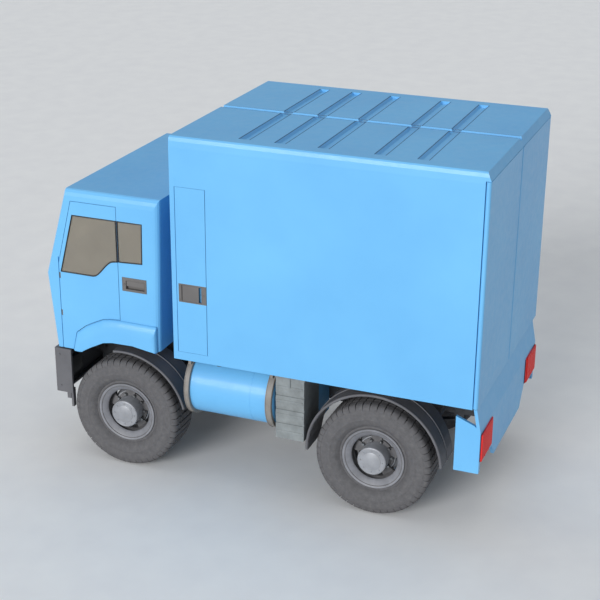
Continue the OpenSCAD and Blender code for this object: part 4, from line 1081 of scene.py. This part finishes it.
plate_face = face_y - 4 * MM
screws = row(6 * MM, 3 * MM, (0, -1, 0), (0.05, plate_face, 0.885), (0.51, plate_face, 0.885),
             2, 12)
plates = [block((0.02, plate_face, 0.83), (0.54, face_y + 0.002, 0.94)), screws]
add_piece("blank_number_plate", plates, "chassis", white_plate)
print("bumper face at y", round(face_y, 3))

# %% [markdown]
# ## Tail lamps
# The tail lamps keep the model's block and gain the upright fluting that spreads their light, two
# raised dividers between their chambers, and a black gasket against the valance.

# %% Tail lamps
lamp_low, lamp_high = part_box("tail_lamps")
FLUTES, FLUTE_STEP = 27, 13.5 * MM
DIVIDERS = (0.118, 0.248)
lamp_in, lamp_out, gasket_in, gasket_out = 0.690, 1.060, 0.660, 1.0615
flutes, gaskets = [], []
for side, sign in SIDES:
    low_x = min(sign * lamp_in, sign * lamp_out)
    flute = turned([(0, 0), (0.0045, 0.002), (0.0045, 0.238), (0, 0.240)], axis="Z", segments=10)
    bmesh.ops.scale(flute, verts=flute.verts, vec=(1, 0.6, 1))
    flutes.append(repeated(flute, FLUTES, (FLUTE_STEP, 0, 0),
                           pivot=(low_x + 0.010, lamp_high.y, lamp_low.z + 0.010)))
    for x in (low_x + step for step in DIVIDERS):
        flutes.append(block((x, lamp_high.y - 0.002, lamp_low.z + 0.001),
                            (x + 0.008, lamp_high.y + 0.004, lamp_high.z - 0.008), 1.5 * MM))
    edge = ((gasket_in, lamp_low.z + 0.003), (gasket_out, lamp_low.z - 0.001),
            (gasket_out, lamp_high.z + 0.001), (gasket_in, lamp_high.z - 0.009))
    gaskets.append(bar([Vector((sign * x, valance_y + 0.001, z)) for x, z in edge], 4 * MM, True))
add_piece("tail_lamp_flutes", flutes, "chassis", lamp_red)
add_piece("tail_lamp_gaskets", gaskets, "chassis", seal_rubber)
print("tail lamps reach y", round(lamp_high.y, 3))

# %% [markdown]
# # Chassis side gear
# The mudguards are rolled sheet, whose edges are turned over a wire. Round bars bent along arcs
# about each axle stand for those edges: a thick one outside and a thin one inside.

# %% Mudguard beads
GUARD_R = 0.640
beads = []
guard_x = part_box("mudguards")[1].x
for sign in (-1, 1):
    for y, start, end in ((axle_y, 14, 100), (rear_axle_y, 4, 182)):
        angles = [math.radians(a) for a in range(start, end + 1, 3)]
        for inset, radius, thick, resolution in ((0.004, GUARD_R, 13 * MM, 4),
                                                 (0.180, GUARD_R * 1.016, 7 * MM, 3)):
            arc = [Vector((sign * (guard_x - inset), y + radius * math.cos(a),
                           tyre_r + radius * math.sin(a))) for a in angles]
            beads.append(bar(arc, thick, resolution=resolution))
add_piece("mudguard_beads", beads, "chassis", grey_plastic)
print("mudguard beads", len(beads))

# %% [markdown]
# ## Fuel tank
# The tank is rolled from sheet, so it has one weld seam round its middle. A ribbed filler cap
# sits on its upper shoulder, pointing outwards. Each broad band has rolled edges and a clamp
# block on top. All of these are rings about the tank's own axis.

# %% Tank seam, cap and band edges
tank_low, tank_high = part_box("fuel_tank")
tank = Vector(((tank_low.x + tank_high.x) / 2, 0, (tank_low.z + tank_high.z) / 2))
tank_r = (tank_high.x - tank_low.x) / 2
CAP_RIBS, CAP_LEAN = 16, math.radians(62)


def hoop(radius, low, high, half, bevel, y):
    """A thin band about the tank's axis, its outer corners bevelled."""
    return turned([(radius + low, y - half), (radius + high, y - half + bevel),
                   (radius + high, y + half - bevel), (radius + low, y + half)], tank, "Y")


seam = hoop(tank_r, -2 * MM, 1.8 * MM, 4 * MM, 2 * MM, tank_low.y + 0.66)
add_piece("tank_weld_seam", seam, "chassis", cab_enamel)

cap = turned([(0, 0), (0.044, 0), (0.044, 0.012), (0.040, 0.026), (0.034, 0.030), (0, 0.030)],
             segments=40)
rib = block((0.006, -0.004, 0.042), (0.024, 0.004, 0.047), 0.0)
cap = merged([cap, ring(rib, CAP_RIBS, (0, 0, 0))])
up = Vector((math.cos(CAP_LEAN), 0, math.sin(CAP_LEAN)))
cap_at = tank + up * (tank_r - 0.002) + Vector((0, tank_low.y + 0.30, 0))
add_piece("tank_filler_cap", moved(facing(cap, up), cap_at), "chassis", bolt_steel)

band_low, band_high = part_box("tank_bands")
band_r = tank_r + 26 * MM
hoops = [hoop(band_r, -4 * MM, 4 * MM, 5 * MM, 2 * MM, y) for y in
         (band_low.y + 0.005, band_low.y + 0.045, band_high.y - 0.057, band_high.y - 0.006)]
for y in (band_low.y + 0.025, band_high.y - 0.032):
    hoops.append(outwards(block((tank.x + 0.20, y - 0.014, tank.z + 0.245),
                                (tank.x + 0.235, y + 0.014, tank.z + 0.285))))
add_piece("tank_band_edges", hoops, "chassis", strap_steel)
print("tank radius", round(tank_r, 3))

# %% [markdown]
# ## Battery box, reservoirs and silencer
# The battery box is a pressed cover with level ribs on two sides, a lid that overlaps it and a
# latch. The air reservoirs and the silencer hang in thin steel straps, which are rings
# just outside each drum.

# %% Battery lid and straps
bat_low, bat_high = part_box("battery_box")
lid = [block((bat_low.x - 0.006, bat_low.y - 0.006, bat_high.z - 0.030),
             (bat_high.x + 0.004, bat_high.y + 0.006, bat_high.z + 0.006), 4 * MM)]
for z in (0.66, 0.83, 0.97, 1.11):
    lid.append(block((bat_low.x + 0.01, bat_low.y - 0.004, z),
                     (bat_high.x - 0.004, bat_low.y + 0.004, z + 0.05)))
    lid.append(block((bat_high.x - 0.004, bat_low.y + 0.01, z),
                     (bat_high.x + 0.004, bat_high.y - 0.01, z + 0.03)))
latch = [Vector((bat_high.x + 0.005, (bat_low.y + bat_high.y) / 2, z)) for z in (1.235, 1.18, 1.13)]
lid.append(bar(latch, 6 * MM))
add_piece("battery_box_lid", lid, "chassis", battery_cover)


def strap(inner, outer, half, centre, y, segments):
    section = [(inner, y - half), (outer, y - half + 0.002), (outer, y + half - 0.002),
               (inner, y + half)]
    return turned(section, centre, "Y", segments)


air_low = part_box("air_tanks")[0]
sil_low, sil_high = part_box("silencer")
straps = [strap(0.108, 0.114, 18 * MM, (air_low.x + 0.110, 0, z), air_low.y + along, 64)
          for z in (0.730, 0.980) for along in (0.11, 0.49)]
straps += [strap(0.187, 0.194, 20 * MM, (sil_low.x + 0.190, 0, 0.860), sil_high.y - along, 80)
           for along in (0.09, 0.42)]
add_piece("tank_and_silencer_straps", straps, "chassis", strap_steel)
print("straps", len(straps))

# %% [markdown]
# # Underneath
# U-bolts clamp each spring pack to its axle: a bar bent over the spring, with a nut under each
# leg. Bolts in two long rows join the rails to their crossmembers and hangers.

# %% U-bolts and rail bolts
SPRING_IN, SPRING_OUT, BEND = 0.322, 0.398, 0.012
RAIL_BOLTS = 30
bars = []
for sign in (-1, 1):
    for y, reach, top, foot in ((axle_y, 0.054, 0.633, 0.418), (rear_axle_y, 0.085, 0.708, 0.462)):
        path = [(SPRING_IN, foot), (SPRING_IN, top - 0.02), (SPRING_IN + BEND, top),
                (SPRING_OUT - BEND, top), (SPRING_OUT, top - 0.02), (SPRING_OUT, foot)]
        for at in (y - reach, y + reach):
            bars.append(bar([Vector((sign * x, at, z)) for x, z in path], 7 * MM))
            bars.append(row(12 * MM, 12 * MM, (0, 0, -1), (sign * SPRING_IN, at, foot + 0.004),
                            (sign * SPRING_OUT, at, foot + 0.004), 2))
add_piece("spring_u_bolts", bars, "chassis", chassis_paint)

rail_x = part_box("frame_rails")[1].x
bolts = [row(10 * MM, 8 * MM, (sign, 0, 0), (sign * rail_x, axle_y + 0.62, z),
             (sign * rail_x, door_rear_y - 0.12, z), RAIL_BOLTS)
         for sign in (-1, 1) for z in (0.865, 1.025)]
add_piece("rail_bolts", bolts, "chassis", chassis_paint)
print("U-bolts", len(bars) // 2, "rail bolts", RAIL_BOLTS * len(bolts))

# %% [markdown]
# ## Radiator, fan and engine top
# These show when the cab is tilted. The radiator's fins are one thin block repeated across it.
# The fan is one pitched blade repeated in a ring about a turned hub. The engine gets its row of
# injector caps, two rows of cover bolts and a manifold pipe along each side.

# %% Radiator fins, fan and engine top
FINS, FIN_STEP = 37, 15.5 * MM
BLADES, BLADE_PITCH = 8, 12
fan_at = (0, axle_y - 0.440, 0.930)
fins = repeated(block((-0.004, -0.008, -0.24), (0.004, 0.002, 0.24), 0.0), FINS,
                (FIN_STEP, 0, 0), pivot=(-0.279, axle_y - 0.530, 0.965))
add_piece("radiator_fins", fins, "chassis", chassis_paint)
blade = rotated(block((-0.045, -0.012, 0.06), (0.045, -0.006, 0.235), 1 * MM), BLADE_PITCH, "Z")
hub = turned([(0, -0.020), (0.055, -0.018), (0.065, -0.006), (0.065, 0.002), (0, 0.002)],
             fan_at, "Y", 40)
fan = [repeated(blade, BLADES, turn=(0, 2 * math.pi / BLADES, 0), pivot=fan_at), hub]
add_piece("fan_blades", fan, "chassis", trim_plastic)

ENGINE_TOP = 1.270
tops = [row(34 * MM, 18 * MM, (0, 0, 1), (0, axle_y - 0.31, ENGINE_TOP),
            (0, axle_y + 0.26, ENGINE_TOP), 6, 20)]
for x in (0.125, -0.125):
    tops.append(row(9 * MM, 8 * MM, (0, 0, 1), (x, axle_y - 0.36, ENGINE_TOP),
                    (x, axle_y + 0.31, ENGINE_TOP), 9))
for sign in (-1, 1):
    manifold = [Vector((sign * 0.245, axle_y + y, 1.05)) for y in (-0.36, -0.1, 0.1, 0.3)]
    tops.append(bar(manifold, 32 * MM))
add_piece("engine_top", tops, "chassis", casting)
print("fins", FINS, "blades", BLADES)

# %% [markdown]
# # Inside the cab
# Dials, pedals and the gear lever give the cab scale through the glass. The instrument faces are
# blank discs in raised bezels, with no lettering. Each pedal is a small tilted pad on a bent bar.

# %% Dials, pedals and lever
SEAT_X = (0.330 + 0.850) / 2
DIALS = ((-0.10, 52 * MM), (0.02, 52 * MM), (0.115, 30 * MM))
PEDALS, PEDAL_TILT = (-0.14, 0.0, 0.13), -35
dial_out = Vector((0, 0.9923, 0.124))
bezels, faces = [], []
for dx, r in DIALS:
    at = Vector((SEAT_X + dx, axle_y - 0.463, 1.775))
    bezel = [(r - 0.004, 0), (r + 0.006, 0), (r + 0.006, 0.008), (r, 0.012), (r - 0.004, 0.006)]
    disc = [(0, 0), (r - 0.003, 0), (r - 0.003, 0.003), (0, 0.003)]
    for outline, shapes in ((bezel, bezels), (disc, faces)):
        shapes.append(moved(facing(turned(outline, segments=48), dial_out), at))
add_piece("dial_bezels", bezels, "cab", trim_plastic)
add_piece("dial_faces", faces, "cab", white_plate)

controls = []
for dx in PEDALS:
    foot = Vector((SEAT_X + dx, axle_y - 0.56, 1.40))
    pad = block((-0.032, -0.006, -0.045), (0.032, 0.006, 0.045), 3 * MM)
    arm = [foot + Vector(p) for p in ((0, -0.006, 0), (0, -0.05, 0), (0, -0.07, -0.074))]
    controls += [moved(rotated(pad, PEDAL_TILT, "X"), foot), bar(arm, 8 * MM)]
lever = [Vector((x, axle_y + y, z)) for x, y, z in
         ((0.18, -0.30, 1.468), (0.18, -0.32, 1.60), (0.20, -0.36, 1.72))]
knob = [(0, -0.03), (0.02, -0.026), (0.026, 0), (0.02, 0.026), (0, 0.03)]
controls += [bar(lever, 8 * MM), turned(knob, lever[-1], "Z", 24)]
add_piece("pedals_and_lever", controls, "cab", trim_plastic)
print("dials", len(DIALS), "pedals", len(PEDALS))

# %% [markdown]
# # Seats
# Each seat is a cushion and a backrest: foam under woven cloth. A padded form bulges where the
# cover is free and pulls in along its seams, which cloth simulation with inner pressure gives
# better than a drawn shape. The form starts as a rounded block, is remeshed evenly, blown up for
# twenty frames and held within a limit. Then it gets its sewn channels.

# %% Padded forms
VOXEL, SWELL_FRAMES = 0.012, 20
LOOKS_AT = 0.3


def padded_form(name, corners, round_mm, pressure, limit):
    """A block through eight corners, rounded, remeshed and inflated as cloth."""
    shape = bmesh.new()
    bmesh.ops.create_cube(shape, size=1)
    for v in shape.verts:
        v.co = Vector(corners(v.co.x + 0.5, v.co.y + 0.5, v.co.z + 0.5))
    bmesh.ops.bevel(shape, geom=shape.edges[:], offset=round_mm * MM, segments=4, affect="EDGES",
                    profile=0.5)
    rough = as_mesh(shape, name)
    obj = in_scene(name, rough)
    remesh = obj.modifiers.new("even", "REMESH")
    remesh.mode = "VOXEL"
    remesh.voxel_size = VOXEL
    even = evaluated(obj)
    obj.modifiers.clear()
    obj.data = even
    bpy.data.meshes.remove(rough)
    start = [v.co.copy() for v in even.vertices]
    swell = obj.modifiers.new("swell", "CLOTH")
    swell.settings.use_pressure = True
    swell.settings.uniform_pressure_force = pressure
    swell.settings.effector_weights.gravity = 0
    swell.settings.quality = 4
    for step in range(1, SWELL_FRAMES + 1):
        bpy.context.scene.frame_set(step)
    depsgraph = bpy.context.evaluated_depsgraph_get()
    blown = bpy.data.meshes.new_from_object(obj.evaluated_get(depsgraph))
    obj.modifiers.clear()
    obj.data = blown
    bpy.context.scene.frame_set(1)
    for v, old in zip(blown.vertices, start):
        move = v.co - old
        if move.length > limit:
            v.co = old + move * (limit / move.length)
    return obj


def sewn(mesh, lines, axis, depth, width, out):
    """Presses sewn channels into the side of a form that looks one way."""
    for v in mesh.vertices:
        if v.normal.dot(Vector(out)) > LOOKS_AT:
            near = min(abs(v.co[axis] - at) for at in lines)
            if near < width:
                v.co -= Vector(out) * depth * (1 - near / width) ** 1.5


def between(ends, t):
    return ends[0] + t * (ends[1] - ends[0])


CUSHION = ((0.345, 0.835), (axle_y - 0.197, axle_y + 0.190), (1.656, 1.748))
BACK_FOOT, BACK_HEAD = (axle_y + 0.224, axle_y + 0.280), (axle_y + 0.264, axle_y + 0.316)
pads = {
    "cushion": padded_form("seat_cushion_left", lambda u, v, w: [
        between(ends, t) for ends, t in zip(CUSHION, (u, v, w))], 30, 4.0, 0.012),
    "back": padded_form("seat_back_left", lambda u, v, w: (
        0.355 + u * 0.470, between(BACK_FOOT, v) * (1 - w) + between(BACK_HEAD, v) * w,
        1.716 + w * 0.655), 24, 3.0, 0.010),
}
sewn(pads["cushion"].data, (0.455, 0.590, 0.725), 0, 0.008, 0.016, (0, 0, 1))
sewn(pads["back"].data, (1.88, 2.04, 2.20), 2, 0.007, 0.016, (0, -1, 0))
print("pad faces", [len(pad.data.polygons) for pad in pads.values()])

# %% [markdown]
# ## Left and right seats
# The right seat is the left one's mirror image, so both sides match and the simulation runs only
# once. One level of subdivision rounds off the even mesh.

# %% Mirror and round off the pads
for kind, left in pads.items():
    left.data.materials.clear()
    left.data.materials.append(cloth)
    mirror = left.data.copy()
    for v in mirror.vertices:
        v.co.x = -v.co.x
    mirror.flip_normals()
    for pad in (left, in_scene(f"seat_{kind}_right", mirror)):
        pad.data.polygons.foreach_set("use_smooth", [True] * len(pad.data.polygons))
        round_off = pad.modifiers.new("round_off", "SUBSURF")
        round_off.levels = round_off.render_levels = 1
        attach(pad, "cab")
        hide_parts("seats")
print("seats", 2)

# %% [markdown]
# # Studio
# A pale seamless paper floor, large enough that its edge is far away.

# %% Floor
def backdrop_paper():
    material, tree, shader, place = new_material("pale_backdrop_paper")
    fibre = noise(tree, place, 400, 4.0)
    set_inputs(tree, shader, {
        "Base Color": colours(tree, fibre, (0.3, "#ECECEC"), (0.7, "#F1F1F0")),
        "Roughness": 0.9})
    return material


ground = bmesh.new()
bmesh.ops.create_grid(ground, x_segments=1, y_segments=1, size=150)
floor = in_scene("floor", as_mesh(ground, "floor"))
floor.data.materials.append(backdrop_paper())
print("floor", floor.name)

# %% [markdown]
# ## Lights and camera
# A soft key from the truck's left makes its side the brightest face, a weak fill comes from
# behind, and an even pale sky does the rest. Suns with a wide angle are used, because they light
# floor and truck evenly at this size. The Standard view keeps the paint's full blue. The camera
# looks at the left rear from above, through a long lens that keeps the box's edges nearly
# parallel.

# %% Lights, sky and camera
def broad_light(name, direction, softness, strength):
    """A wide, distant light that shines from a direction."""
    lamp = bpy.data.lights.new(name, "SUN")
    lamp.angle = math.radians(softness)
    lamp.energy = strength
    in_scene(name, lamp).rotation_euler = (-Vector(direction)).to_track_quat("-Z", "Y").to_euler()


broad_light("key_from_the_left", (14.0, -3.0, 4.5), 30, 2.35)
broad_light("fill_from_behind", (-3.0, 14.0, 7.0), 40, 0.12)
broad_light("top_fill", (-4.0, -3.0, 13.0), 60, 0.4)
world = bpy.data.worlds.new("even_pale_sky")
world.use_nodes = True
sky = world.node_tree.nodes["Background"].inputs
sky["Color"].default_value = linear("#DDE3EA")
sky["Strength"].default_value = 0.5
bpy.context.scene.world = world
bpy.context.scene.view_settings.view_transform = "Standard"

CAMERA_AT, LENS = (11.669, 4.5505, 6.605), 83.29
azimuth, elevation, roll = (math.radians(v) for v in (111.24, 22.01, 0.47))
back = Vector((math.sin(azimuth) * math.cos(elevation), -math.cos(azimuth) * math.cos(elevation),
               math.sin(elevation)))
right = Vector((math.cos(azimuth), math.sin(azimuth), 0))
up = back.cross(right)
c, s = math.cos(roll), math.sin(roll)
axes = (c * right + s * up, -s * right + c * up, back)
camera = in_scene("camera", bpy.data.cameras.new("camera"))
camera.data.sensor_width = 36
camera.data.lens = LENS
camera.data.clip_end = 400
camera.matrix_world = Matrix.Translation(CAMERA_AT) @ Matrix(axes).transposed().to_4x4()
bpy.context.scene.camera = camera
print("camera at", CAMERA_AT)
